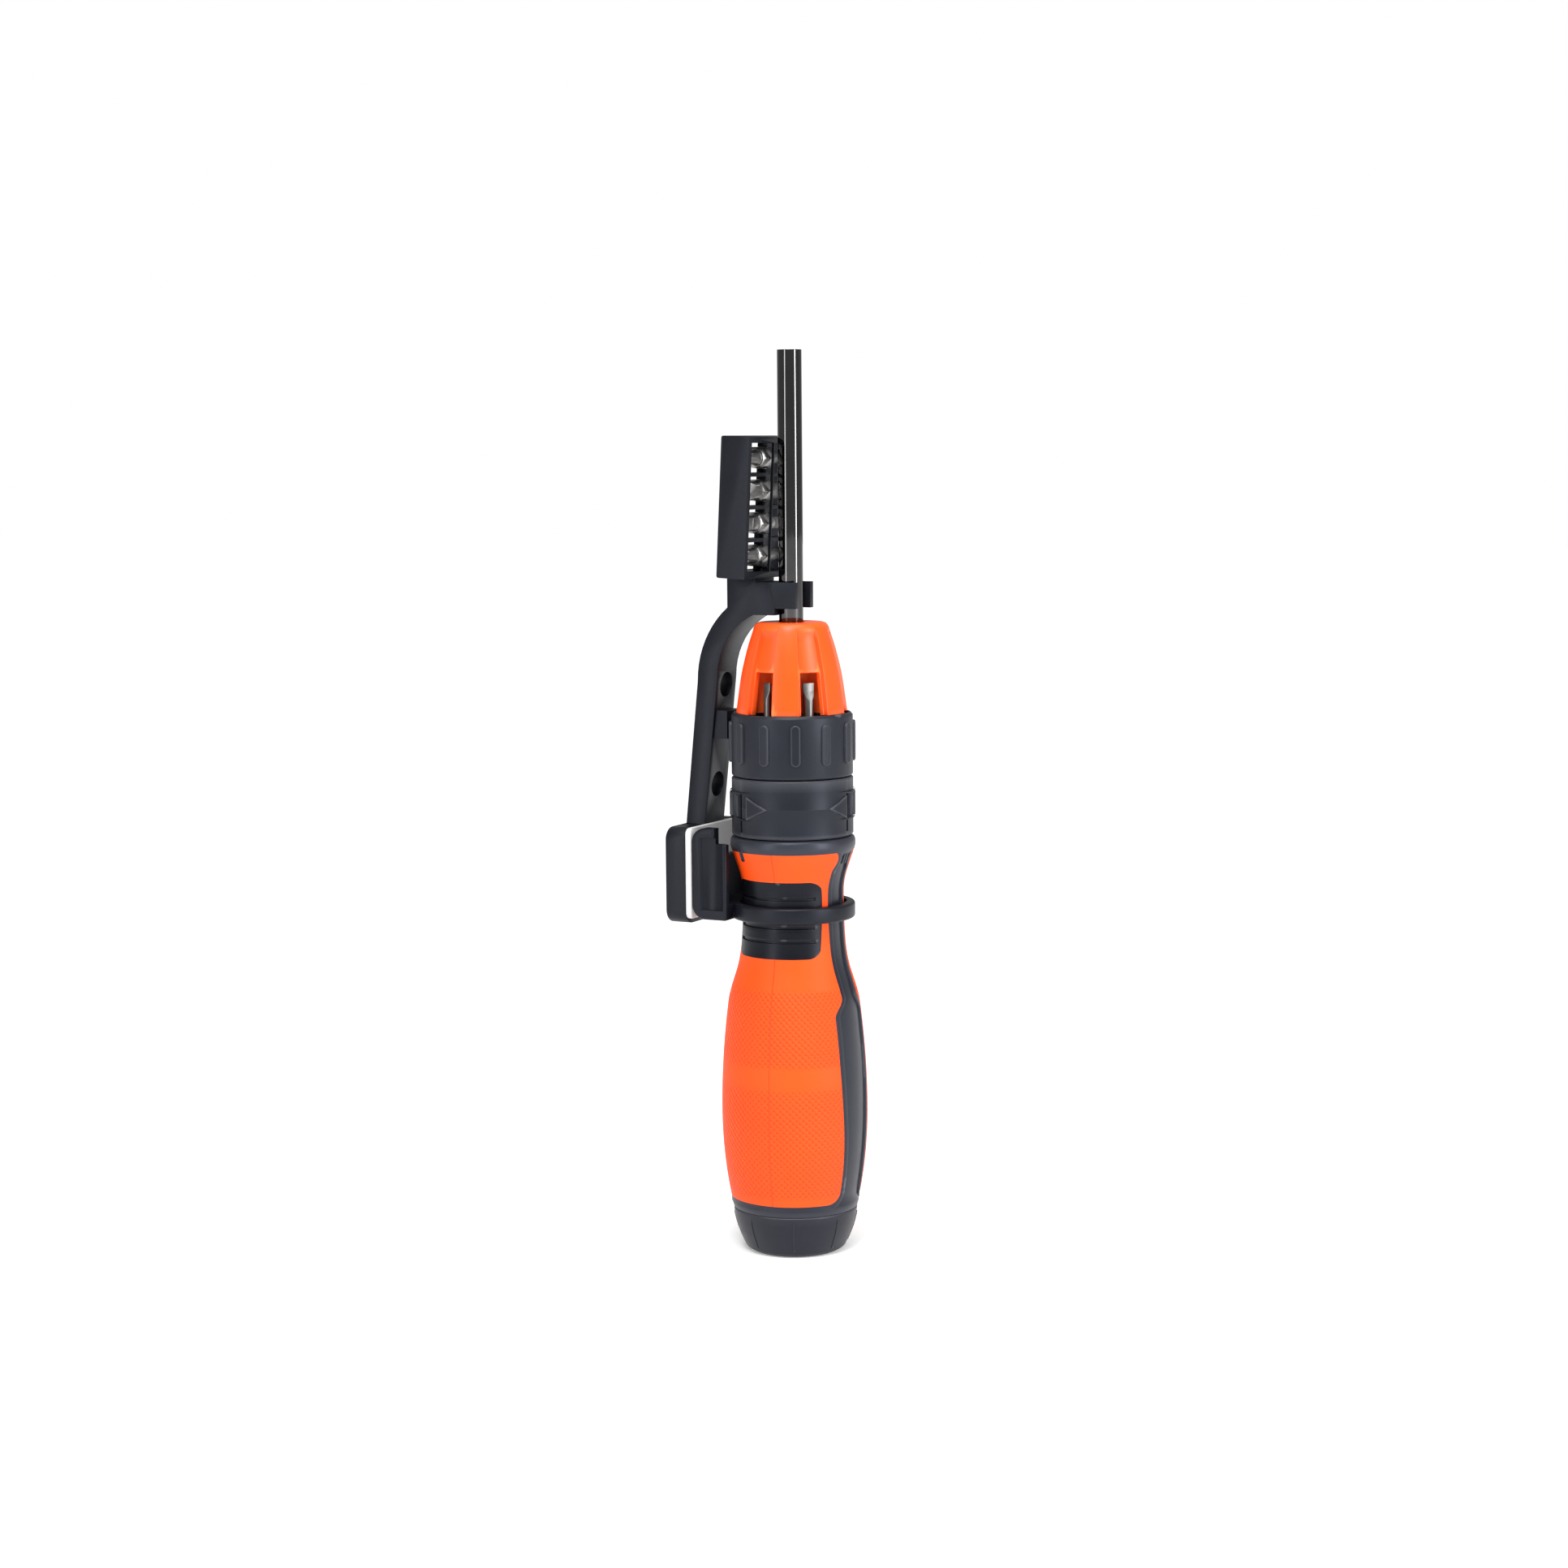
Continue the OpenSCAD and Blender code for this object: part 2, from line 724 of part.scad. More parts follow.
// Repeats its children at the magazine's bits
module at_bit(i) {
    rotate([0, 0, window_turn + i*360/magazine_bits])
        translate([bit_circle, 0, bit_foot])
            children();
}
module hex_prism(af, h) {
    cylinder(h = h, r = af/sqrt(3), $fn = 6);
}
module bit_carousel() {
    color(black)
        difference() {
            translate([0, 0, carousel_z])
                cylinder(h = carousel_top - carousel_z, r = carousel_r);
            translate([0, 0, collar_z - eps])
                cylinder(h = collar_h + 2*eps, r = shaft_r + bush_gap);
            for (i = [0 : magazine_bits - 1])
                at_bit(i)
                    rotate([0, 0, 30])
                        hex_prism(bit_af + 2*bit_gap, collar_h);
        }
}

// Nose cone: six raised panels, shallow channels and a window over each bit
nose_wall = 1.7;
hub_r = 7.2;
hub_z = nose_z - 1.7;
// Share of the way up the cone, and share of the radius left over the flat top
nose_shape = [[0, 1], [0.385, 0.8], [0.696, 0.507], [0.912, 0.28]];
nose_edge = 0.8;
module nose_line(d, drop = 0) {
    polygon(concat(drop > 0 ? [[0, nose_z - drop], [nose_r - d, nose_z - drop]] : [[0, nose_z]],
        [for (p = nose_shape)
            [nose_top_r + (nose_r - nose_top_r)*p[1] - d, nose_z + nose_h*p[0]]],
        [[nose_top_r + nose_edge - d, nose_top - nose_edge - d/2], [nose_top_r - d, nose_top - d],
            [0, nose_top - d]]));
}
module nose_cone() {
    channel_depth = 0.9;
    channel_half = 15.5;
    window_w = 7.6;
    skirt_rise = 0.5;
    color(orange)
        difference() {
            union() {
                difference() {
                    rotate_extrude()
                        difference() {
                            nose_line(0, skirt_h);
                            nose_line(channel_depth + nose_wall, skirt_h + eps);
                            translate([0, nose_z - skirt_h - eps])
                                square([carousel_r, skirt_h + skirt_rise + eps]);
                        }
                    for (i = [0 : magazine_bits - 1])
                        rotate([0, 0, window_turn + i*360/magazine_bits - channel_half])
                            rotate_extrude(angle = 2*channel_half)
                                difference() {
                                    translate([0, nose_z])
                                        square([collar_r, nose_h - 2.6]);
                                    nose_line(channel_depth);
                                }
                    for (i = [0 : magazine_bits - 1])
                        rotate([0, 0, window_turn + i*360/magazine_bits])
                            translate([hub_r + 1, -window_w/2, nose_z])
                                cube([collar_r, window_w, window_h]);
                }
                translate([0, 0, hub_z])
                    cylinder(h = nose_top - hub_z - 1, r = hub_r);
            }
            translate([0, 0, hub_z - eps])
                cylinder(h = nose_h + 10, r = shaft_r + bush_gap);
        }
}

// Bits: hex shank, round neck and the tip's own end
neck_rise = 2;
module bit_blank(neck_d, tip_d) {
    cylinder_top = bit_len - shank_len - neck_rise;
    intersection() {
        rotate([0, 0, 30])
            hex_prism(bit_af, shank_len);
        union() {
            cylinder(h = 0.8, r1 = bit_af/2 - 0.2, r2 = bit_af/sqrt(3));
            translate([0, 0, 0.8])
                cylinder(h = shank_len - 1.6, r = bit_af/sqrt(3));
            translate([0, 0, shank_len - 0.8])
                cylinder(h = 0.8, r1 = bit_af/sqrt(3), r2 = bit_af/2 - 0.2);
        }
    }
    translate([0, 0, shank_len - eps])
        cylinder(h = neck_rise + eps, r1 = bit_af/2 - 0.3, r2 = neck_d/2);
    translate([0, 0, shank_len + neck_rise])
        cylinder(h = cylinder_top, r1 = neck_d/2, r2 = tip_d/2);
}

// Flat tip: two slopes leave a thin blade
module slotted_bit(neck_d, tip_d, tip_t) {
    slope_h = 6;
    color(steel)
        difference() {
            bit_blank(neck_d, tip_d);
            for (s = [0, 180])
                rotate([0, 0, s])
                    side_extrude(2*bit_af)
                        polygon([[tip_t/2, bit_len + eps], [tip_t/2, bit_len - 2],
                            [neck_d/2 + eps, bit_len - slope_h - eps], [bit_af, bit_len + eps]]);
        }
}

// Cross tip: four V grooves in a cone
module cross_bit(neck_d, tip_d) {
    groove_h = 6;
    color(steel)
        difference() {
            bit_blank(neck_d, tip_d);
            for (a = [0 : 90 : 270])
                rotate([0, 0, a + 45])
                    translate([0.55, 0, bit_len + eps])
                        rotate([0, -9, 0])
                            translate([0, 0, -groove_h])
                                rotate([0, 0, -45])
                                    cube([bit_af, bit_af, groove_h + 2*eps]);
        }
}

// Square tip: four flats
module square_bit(neck_d, side) {
    flat_h = 6;
    color(steel)
        difference() {
            bit_blank(neck_d, neck_d);
            for (a = [0 : 90 : 270])
                rotate([0, 0, a])
                    translate([side/2, -bit_af, bit_len - flat_h])
                        cube([bit_af, 2*bit_af, flat_h + eps]);
        }
}
module stored_bit_1() {
    at_bit(0)
        rotate([0, 0, 60])
            slotted_bit(3.6, 3.6, 0.9);
}
module stored_bit_2() {
    at_bit(1)
        cross_bit(4.6, 2);
}
module stored_bit_3() {
    at_bit(2)
        square_bit(4, 2.7);
}
module stored_bit_4() {
    at_bit(3)
        cross_bit(3.6, 1.4);
}
module stored_bit_5() {
    at_bit(4)
        square_bit(3.6, 2.2);
}
module stored_bit_6() {
    at_bit(5)
        rotate([0, 0, 120])
            slotted_bit(2.5, 2.5, 0.7);
}

// Holder: clip round the neck, pale spacer, arm with fork, bit rack
ring_z = bead_z - ring_drop;
plate_z = ring_z - 1.6;
plate_top = plate_z + plate_h;
plate_mid = (plate_z + plate_top)/2;
clip_x = plate_x - pad_t;
// Side view of the saddle's ears, round where they leave the spacer
module ear_outline(depth, h, r) {
    translate([-clip_x + r, ring_z])
        square([depth - r, h]);
    translate([-clip_x, ring_z + r])
        square([depth, h - 2*r]);
    for (z = [ring_z + r, ring_z + h - r])
        translate([-clip_x + r, z])
            circle(r = r, $fn = 48);
}
module neck_clip() {
    saddle_w = plate_w - 1.5;
    saddle_h = plate_h - 1.4;
    depth = clip_x - saddle_front;
    ear_t = 3.5;
    ear_round = 4.5;
    wall_t = 2.4;
    wall_drop = 10.4;
    step_x = saddle_front + 4.1;
    step_h = 4.8;
    dish_depth = 1.5;
    dish_half = 4;
    dish_r = (dish_half*dish_half + dish_depth*dish_depth)/(2*dish_depth);
    dish_border = 3;
    inside_w = saddle_w - 2*ear_t;
    color(dark)
        difference() {
            union() {
                side_extrude(saddle_w)
                    ear_outline(depth, saddle_h, ear_round);
                translate([0, 0, ring_z])
                    cylinder(h = ring_h, r = ring_out);
            }
            translate([0, 0, ring_z + ring_h])
                cylinder(h = saddle_h, r = saddle_r);
            translate([-clip_x + wall_t, -inside_w/2, ring_z + ring_h])
                cube([depth, inside_w, saddle_h]);
            translate([-clip_x - eps, -inside_w/2, ring_z + saddle_h - wall_drop])
                cube([depth, inside_w, saddle_h]);
            translate([0, 0, ring_z - eps])
                cylinder(h = ring_h + 2*eps, r = ring_in);
            for (s = [-1, 1])
                translate([-clip_x + dish_border + dish_half, s*(saddle_w/2 + dish_r - dish_depth),
                    ring_z + dish_border])
                    cylinder(h = saddle_h - 2*dish_border, r = dish_r);
            translate([-step_x, -saddle_w/2 - eps, ring_z + saddle_h - step_h])
                cube([step_x, saddle_w + 2*eps, step_h + eps]);
        }
}
module pale_spacer() {
    color("#e9e8e4")
        front_extrude(-plate_x, pad_t)
            translate([0, plate_mid + 0.8])
                round_rect(plate_w, plate_h - 1.6, 2);
}

// Places of the arm, from the back plate up to the fork
fork_z = nose_top + fork_rise;
jaw_z = fork_z + 2;
jaw_top = jaw_z + jaw_h;
fork_front = 2.5;
tray_x = -17.3;
tray_z = jaw_top + 1.7;
bend_in = [-22.3, fork_z - 19.5];
bend_out = [-29.1, fork_z - 20.5];
arc_steps = 10;
function tray_seat(x) = tray_z - (x - tray_x)*tan(tray_lean);
// Points of a bend that starts upright and leans over, up to the angle sweep of its ellipse
function bend(from, reach, rise, sweep) = [for (k = [0 : arc_steps])
    let (a = sweep*k/arc_steps)
    [from[0] + reach*(1 - cos(a)), from[1] + rise*sin(a)]];
module arm_outline() {
    foot = plate_top - 4;
    back = -plate_x - arm_t;
    neck_back = -18.6;
    in_reach = 20;
    in_rise = 21;
    out_reach = 28;
    out_rise = 29;
    polygon(concat([[-plate_x, foot], [-plate_x, plate_top]],
        bend(bend_in, in_reach, in_rise, asin((fork_z - bend_in[1])/in_rise)),
        [[-fork_front, fork_z], [-fork_front, jaw_z], [-fork_front - 2, jaw_top],
            [-9, jaw_top], [-9, tray_seat(-9)], [neck_back, tray_seat(neck_back)]],
        backwards(bend(bend_out, out_reach, out_rise, acos(1 - (neck_back - bend_out[0])/out_reach))),
        [[back, plate_top], [back, foot]]));
}
module hanging_hole(z) {
    translate([-plate_x - plate_t - eps, 0, z])
        rotate([0, 90, 0])
            cylinder(h = plate_t + 14, r = hole_d/2);
}
hole_low = bead_top + 14.4;
hole_high = nose_z + 7.7;
module rack_arm() {
    back = -plate_x - plate_t;
    fork_w = arm_w - 0.5;
    slot_half = shaft_r + run_gap;
    bumper_z = nose_z - 8.6;
    bumper_h = 8.6;
    bumper_front = collar_r + 1.2;
    color(dark)
        difference() {
            union() {
                front_extrude(back, plate_t)
                    translate([0, plate_mid])
                        round_rect(plate_w, plate_h, 4);
                side_extrude(arm_w)
                    arm_outline();
                translate([-9, -fork_w/2, jaw_z])
                    cube([9 + jaw_reach, fork_w, jaw_h]);
                translate([-plate_x, -5, bumper_z])
                    cube([plate_x - bumper_front, 10, bumper_h]);
            }
            translate([0, 0, fork_z - eps])
                cylinder(h = tray_z - fork_z + 2*eps, r = slot_half);
            translate([0, -slot_half, fork_z - eps])
                cube([jaw_reach + eps, 2*slot_half, tray_z - fork_z + 2*eps]);
            hanging_hole(hole_low);
            hanging_hole(hole_high);
        }
}

// The rack's own frame: x to the front, y across and z up its lean
module in_rack() {
    translate([tray_x, 0, tray_z])
        rotate([0, tray_lean, 0])
            children();
}
bar_t = 0.7;
row_x = tray_d - bar_t - bit_af/sqrt(3) - bit_gap;
row_foot = (tray_h - (rack_rows - 1)*rack_pitch)/2;
middle_len = 8;
hold_w = 3;
hold_back = row_x - 0.5;
module bit_rack() {
    shelf_t = 1.1;
    bar_w = 0.6;
    slot_h = bit_af + 2*bit_gap;
    hold_front = row_x + 2.7;
    color(dark)
        in_rack()
            difference() {
                union() {
                    difference() {
                        translate([0, -tray_w/2, 0])
                            cube([tray_d, tray_w, tray_h]);
                        translate([-eps, -tray_w/2 + tray_wall, tray_wall])
                            cube([tray_d + 2*eps, tray_w - 2*tray_wall, tray_h - 2*tray_wall]);
                    }
                    for (i = [1 : rack_rows - 1])
                        translate([hold_back, -tray_w/2 + eps, row_foot + (i - 0.5)*rack_pitch - shelf_t/2])
                            cube([hold_front - hold_back, tray_w - 2*eps, shelf_t]);
                    translate([hold_back, -hold_w/2, eps])
                        cube([hold_front - hold_back, hold_w, tray_h - 2*eps]);
                    translate([tray_d - bar_t, -bar_w/2, eps])
                        cube([bar_t, bar_w, tray_h - 2*eps]);
                }
                for (i = [0 : rack_rows - 1])
                    translate([hold_back - eps, -tray_w/2 + tray_wall, row_foot + i*rack_pitch - slot_h/2])
                        cube([tray_d - bar_t - hold_back + eps, tray_w - 2*tray_wall, slot_h]);
            }
}

// Double ended bits: a short hex middle with the same tip at both ends
end_gap = 0.6;
rack_bit_len = tray_w - 2*tray_wall - 2*end_gap;
tip_len = (rack_bit_len - middle_len)/2;
module hex_middle() {
    corner_r = bit_af/sqrt(3);
    flat_r = bit_af/2 - 0.3;
    intersection() {
        translate([0, 0, -middle_len/2])
            hex_prism(bit_af, middle_len);
        union() {
            translate([0, 0, -middle_len/2 + 1.5])
                cylinder(h = middle_len - 3, r = corner_r);
            for (s = [0, 180])
                rotate([s, 0, 0])
                    translate([0, 0, middle_len/2 - 1.5])
                        cylinder(h = 1.5, r1 = corner_r, r2 = flat_r);
        }
    }
}
module both_ends() {
    for (s = [0, 180])
        rotate([s, 0, 0])
            translate([0, 0, middle_len/2])
                children();
}
module tip_blank(neck_d, tip_d) {
    translate([0, 0, -eps])
        cylinder(h = tip_len + eps, r1 = neck_d/2, r2 = tip_d/2);
}
module cross_pair(neck_d, tip_d) {
    groove_h = 7;
    color(steel) {
        hex_middle();
        both_ends()
            difference() {
                tip_blank(neck_d, tip_d);
                for (a = [0 : 90 : 270])
                    rotate([0, 0, a + 45])
                        translate([0.55, 0, tip_len + eps])
                            rotate([0, -10, 0])
                                translate([0, 0, -groove_h])
                                    rotate([0, 0, -45])
                                        cube([bit_af, bit_af, groove_h + 2*eps]);
            }
    }
}
module slotted_pair(tip_w, tip_t) {
    color(steel) {
        hex_middle();
        both_ends()
            difference() {
                tip_blank(tip_w, tip_w);
                for (s = [0, 180])
                    rotate([0, 0, s])
                        side_extrude(2*bit_af)
                            polygon([[tip_t/2, tip_len + eps], [tip_t/2, tip_len - 3],
                                [tip_w/2 + eps, 0.5], [bit_af, tip_len + eps]]);
            }
    }
}
module square_pair(neck_d, side) {
    color(steel) {
        hex_middle();
        both_ends()
            intersection() {
                tip_blank(neck_d, neck_d - 0.6);
                union() {
                    translate([-side/2, -side/2, -eps])
                        cube([side, side, tip_len + 2*eps]);
                    translate([-neck_d, -neck_d, -eps])
                        cube([2*neck_d, 2*neck_d, 3]);
                }
            }
    }
}

// Places a bit in row i of the rack, lying along Y with a hex corner to the front
module in_row(i) {
    in_rack()
        translate([row_x, 0, row_foot + i*rack_pitch])
            rotate([90, 0, 0])
                children();
}
module rack_bit_1() {
    in_row(0)
        cross_pair(5.4, 2.6);
}
module rack_bit_2() {
    in_row(1)
        square_pair(5.2, 3.4);
}
module rack_bit_3() {
    in_row(2)
        slotted_pair(5.8, 1.2);
}
module rack_bit_4() {
    in_row(3)
        cross_pair(5, 2.2);
}

end_cap();
handle_core();
grip_left();
grip_right();
insert_left();
insert_right();
ratchet_housing();
ratchet_cover();
pawl_pins();
pawl_springs();
shaft_bush();
selector_ring();
selector_cam();
pawl_left();
pawl_right();
drive_shaft();
ratchet_gear();
thrust_washer();
tail_clip();
magazine_clip();
bit_collar();
bit_carousel();
nose_cone();
stored_bit_1();
stored_bit_2();
stored_bit_3();
stored_bit_4();
stored_bit_5();
stored_bit_6();
neck_clip();
pale_spacer();
rack_arm();
bit_rack();
rack_bit_1();
rack_bit_2();
rack_bit_3();
rack_bit_4();
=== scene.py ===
# %% [markdown]
# # A ratcheting screwdriver with a hanging bit rack
# The driver stands on its end cap. A hard dark core carries two soft orange grips. A selector ring and
# a ribbed collar turn above it, and an orange nose covers six upright bits. A rack with four more bits
# hangs on its neck. The packed solids give every size and place. Here each visible piece is modelled
# again with rounded edges and gets its finish. Lengths are written in millimetres and angles in
# degrees. A piece becomes metres when it is finished.

# %% Load the frame
import json
from math import acos, asin, atan2, cos, degrees, pi, radians, sin, sqrt

import bmesh
import bpy
from mathutils import Matrix, Vector

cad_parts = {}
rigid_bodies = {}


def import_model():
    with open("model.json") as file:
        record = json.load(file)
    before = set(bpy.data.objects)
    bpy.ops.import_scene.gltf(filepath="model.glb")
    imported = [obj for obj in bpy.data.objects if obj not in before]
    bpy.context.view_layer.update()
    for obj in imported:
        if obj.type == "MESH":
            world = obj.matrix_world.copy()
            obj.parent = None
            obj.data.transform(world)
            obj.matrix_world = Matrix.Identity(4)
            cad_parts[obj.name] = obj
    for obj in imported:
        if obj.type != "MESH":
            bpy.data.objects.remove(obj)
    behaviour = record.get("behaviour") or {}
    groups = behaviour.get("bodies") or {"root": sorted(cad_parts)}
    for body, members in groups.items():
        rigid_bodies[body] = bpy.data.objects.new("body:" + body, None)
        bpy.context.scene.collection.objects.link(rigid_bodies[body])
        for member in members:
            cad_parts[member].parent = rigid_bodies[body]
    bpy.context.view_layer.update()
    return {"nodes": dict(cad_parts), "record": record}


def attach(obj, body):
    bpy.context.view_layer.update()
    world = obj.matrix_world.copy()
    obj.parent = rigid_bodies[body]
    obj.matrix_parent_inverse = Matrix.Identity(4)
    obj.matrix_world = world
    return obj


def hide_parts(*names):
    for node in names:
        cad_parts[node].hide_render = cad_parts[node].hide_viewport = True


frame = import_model()
MM = 0.001

# %% [markdown]
# ## Shader maths
# A finish is a small network of nodes. Written node by node it is long and hard to read, so one class
# wraps a socket and lets plain arithmetic add the Math nodes, and one method adds every other node. The
# alternative, a group of ready nodes, would hide the numbers that make the finish.

# %% Sockets that can be added and multiplied
class Wire:
    def __init__(self, tree, socket):
        self.tree = tree
        self.socket = socket

    def math(self, operation, first, second=None):
        node = self.tree.nodes.new("ShaderNodeMath")
        node.operation = operation
        for slot, value in zip(node.inputs, (first, second)):
            plug(self.tree, slot, value)
        return Wire(self.tree, node.outputs[0])

    def __add__(self, other):
        return self.math("ADD", self, other)

    def __radd__(self, other):
        return self.math("ADD", other, self)

    def __sub__(self, other):
        return self.math("SUBTRACT", self, other)

    def __rsub__(self, other):
        return self.math("SUBTRACT", other, self)

    def __mul__(self, other):
        return self.math("MULTIPLY", self, other)

    def __rmul__(self, other):
        return self.math("MULTIPLY", other, self)

    def sine(self):
        return self.math("SINE", self)

    def size(self):
        return self.math("ABSOLUTE", self)

    def clamped(self):
        return self.math("MINIMUM", self.math("MAXIMUM", self, 0.0), 1.0)


def plug(tree, slot, value):
    if value is None:
        return
    if isinstance(value, Wire):
        tree.links.new(value.socket, slot)
    else:
        slot.default_value = value


print("wires can be:", [name for name in vars(Wire) if not name.startswith("_")])

# %% [markdown]
# ## Networks and finishes
# A finish and the sky are both node trees. One class adds nodes to any tree, with short methods for the
# few kinds that come up again and again. A second one starts a new material and sets the sockets of its
# shader.

# %% Adding nodes to a tree
class Network:
    def __init__(self, tree):
        self.tree = tree

    def add(self, kind, settings=None, sockets=None, output=0):
        node = self.tree.nodes.new(kind)
        for key, value in (settings or {}).items():
            setattr(node, key, value)
        for key, value in (sockets or {}).items():
            plug(self.tree, node.inputs[key], value)
        return Wire(self.tree, node.outputs[output])

    def place(self):
        return self.add("ShaderNodeTexCoord", output="Object")

    def noise(self, scale, detail, vector=None):
        sockets = {"Vector": vector or self.place(), "Scale": scale, "Detail": detail}
        return self.add("ShaderNodeTexNoise", None, sockets)

    def blend(self, factor, first, second):
        return self.add("ShaderNodeMix", {"data_type": "RGBA"}, {0: factor, 6: first, 7: second}, 2)

    def bump(self, height, strength, distance):
        sockets = {"Height": height, "Strength": strength, "Distance": distance}
        return self.add("ShaderNodeBump", None, sockets)


class Finish(Network):
    def __init__(self, name):
        self.material = bpy.data.materials.new(name)
        self.material.use_nodes = True
        super().__init__(self.material.node_tree)

    def wear(self, **sockets):
        shader = self.tree.nodes["Principled BSDF"]
        for key, value in sockets.items():
            plug(self.tree, shader.inputs[key.replace("_", " ")], value)
        return self.material


CONTRAST = 1.6


def stretched(noise):
    return ((noise - 0.5) * CONTRAST + 0.5).clamped()


def solid(colour, gain=1.0, lift=0.0):
    return [min(1.0, gain * c + lift) for c in colour] + [1.0]


print("noise is stretched by", CONTRAST)

# %% [markdown]
# ## Moulded plastic
# The dark pieces and the nose are injection moulded. Such a skin copies the spark eroded face of its
# mould: a very fine grain, a slow drift of gloss where the melt cooled unevenly, and faint handling
# marks. A plain colour with one roughness looks like paint, so the grain is a bump and gloss and colour
# both drift. Sharp edges get a painted highlight: their colour is made paler where light would catch them.

# %% Plastic finishes
COOL = (0.82, 0.87, 1.0, 1.0)
WHITE = (1.0, 1.0, 1.0, 1.0)
DRIFT_SCALE, MARK_SCALE, GRAIN_SCALE = 90.0, 420.0, 2600.0
DRIFT_SHARE, MARK_SHARE = 0.6, 0.4
GRAIN_HEIGHT = 0.04 * MM
# Edges are picked by Pointiness, and their colour is lifted as a painted highlight
EDGE_FROM, EDGE_GAIN = 0.515, 14.0
EDGE_HIGHLIGHT_GAIN, EDGE_HIGHLIGHT_LIFT = 3.0, 0.05


def moulded(name, colour, gloss, grain, shine, drift=0.25, tint=COOL, edge_highlight=0.8):
    f = Finish(name)
    slow = f.noise(DRIFT_SCALE, 3.0)
    fine = f.noise(GRAIN_SCALE, 2.0)
    marks = f.noise(MARK_SCALE, 5.0)
    tone = f.blend(stretched(slow), solid(colour, 1 - drift), solid(colour, 1 + drift))
    # painted highlight: high Pointiness on sharp edges blends the colour towards a paler one
    edge = ((f.add("ShaderNodeNewGeometry", output="Pointiness") - EDGE_FROM) * EDGE_GAIN).clamped()
    tone = f.blend(edge * edge_highlight, tone, solid(colour, EDGE_HIGHLIGHT_GAIN, EDGE_HIGHLIGHT_LIFT))
    rough = gloss[0] + (gloss[1] - gloss[0]) * (DRIFT_SHARE * slow + MARK_SHARE * marks)
    skin = f.bump(fine, grain, GRAIN_HEIGHT)
    return f.wear(Base_Color=tone, Roughness=rough, Normal=skin, Specular_IOR_Level=shine,
                  Specular_Tint=tint)


ORANGE = (0.96, 0.076, 0.006)
PALE = (0.60, 0.60, 0.60)
black_plastic = moulded("black_plastic", (0.0070, 0.0076, 0.0115), gloss=(0.32, 0.48), grain=0.25,
                        shine=0.30)
dark_plastic = moulded("dark_plastic", (0.0110, 0.0120, 0.0180), gloss=(0.30, 0.46), grain=0.35,
                       shine=0.34)
collar_plastic = moulded("collar_plastic", (0.0075, 0.0082, 0.0125), gloss=(0.36, 0.52), grain=0.45,
                         shine=0.27)
rack_plastic = moulded("rack_plastic", (0.0040, 0.0044, 0.0070), gloss=(0.34, 0.50), grain=0.55,
                       shine=0.24, edge_highlight=0.0)
insert_plastic = moulded("insert_plastic", (0.0034, 0.0037, 0.0056), gloss=(0.28, 0.44), grain=0.30,
                         shine=0.20)
orange_plastic = moulded("orange_plastic", ORANGE, gloss=(0.28, 0.42), grain=0.18, shine=0.30, drift=0.05,
                         tint=WHITE, edge_highlight=0.4)
pale_plastic = moulded("pale_plastic", PALE, gloss=(0.55, 0.75), grain=0.60, shine=0.22, drift=0.04,
                       tint=WHITE, edge_highlight=0.0)
print("plastics:", [m.name for m in bpy.data.materials if m.name.endswith("plastic")])

# %% [markdown]
# ## Soft grip
# The orange grips are a rubbery moulding with two fields of small raised diamonds, a plain band between
# them and a thin parting line down the middle of each side. Thousands of modelled diamonds would be
# heavy, and they are only a fraction of a millimetre high, so they are a bump: two waves, one round the
# handle and one along it, whose product leaves staggered diamonds. They fade in by height. The valleys
# between them are painted a darker orange, which is painted shade.

# %% Grip finish
DIAMOND_PITCH = 0.95
DIAMOND_HEIGHT = 0.22 * MM
DIAMOND_FIELDS = ((18.5, 54.0), (59.0, 83.5))
FIELD_FADE = 0.6
BELLY_R = 21.5
SEAM_TURN = 0.11
SEAM_SHARP = 4500.0
RUBBER_DRIFT_SCALE, RUBBER_GRAIN_SCALE = 60.0, 3000.0
VALLEY_SHADE_SHARE, SEAM_SHARE = 0.85, 0.8
DIAMOND_RELIEF, GRAIN_RELIEF, SEAM_RELIEF = 0.9, 0.10, 0.8
RELIEF_STRENGTH = 0.8
RUBBER_GLOSS, GLOSS_DRIFT, GLOSS_GRAIN = 0.46, 0.14, 0.05
RUBBER_SHINE = 0.22
GRIP_DEEP, GRIP_LIGHT = (0.92, 0.066, 0.003), (0.99, 0.080, 0.005)
# the valley colour is painted shade between the diamonds
VALLEY_SHADE_COLOUR, SEAM_COLOUR = (0.66, 0.040, 0.004), (0.70, 0.045, 0.005)


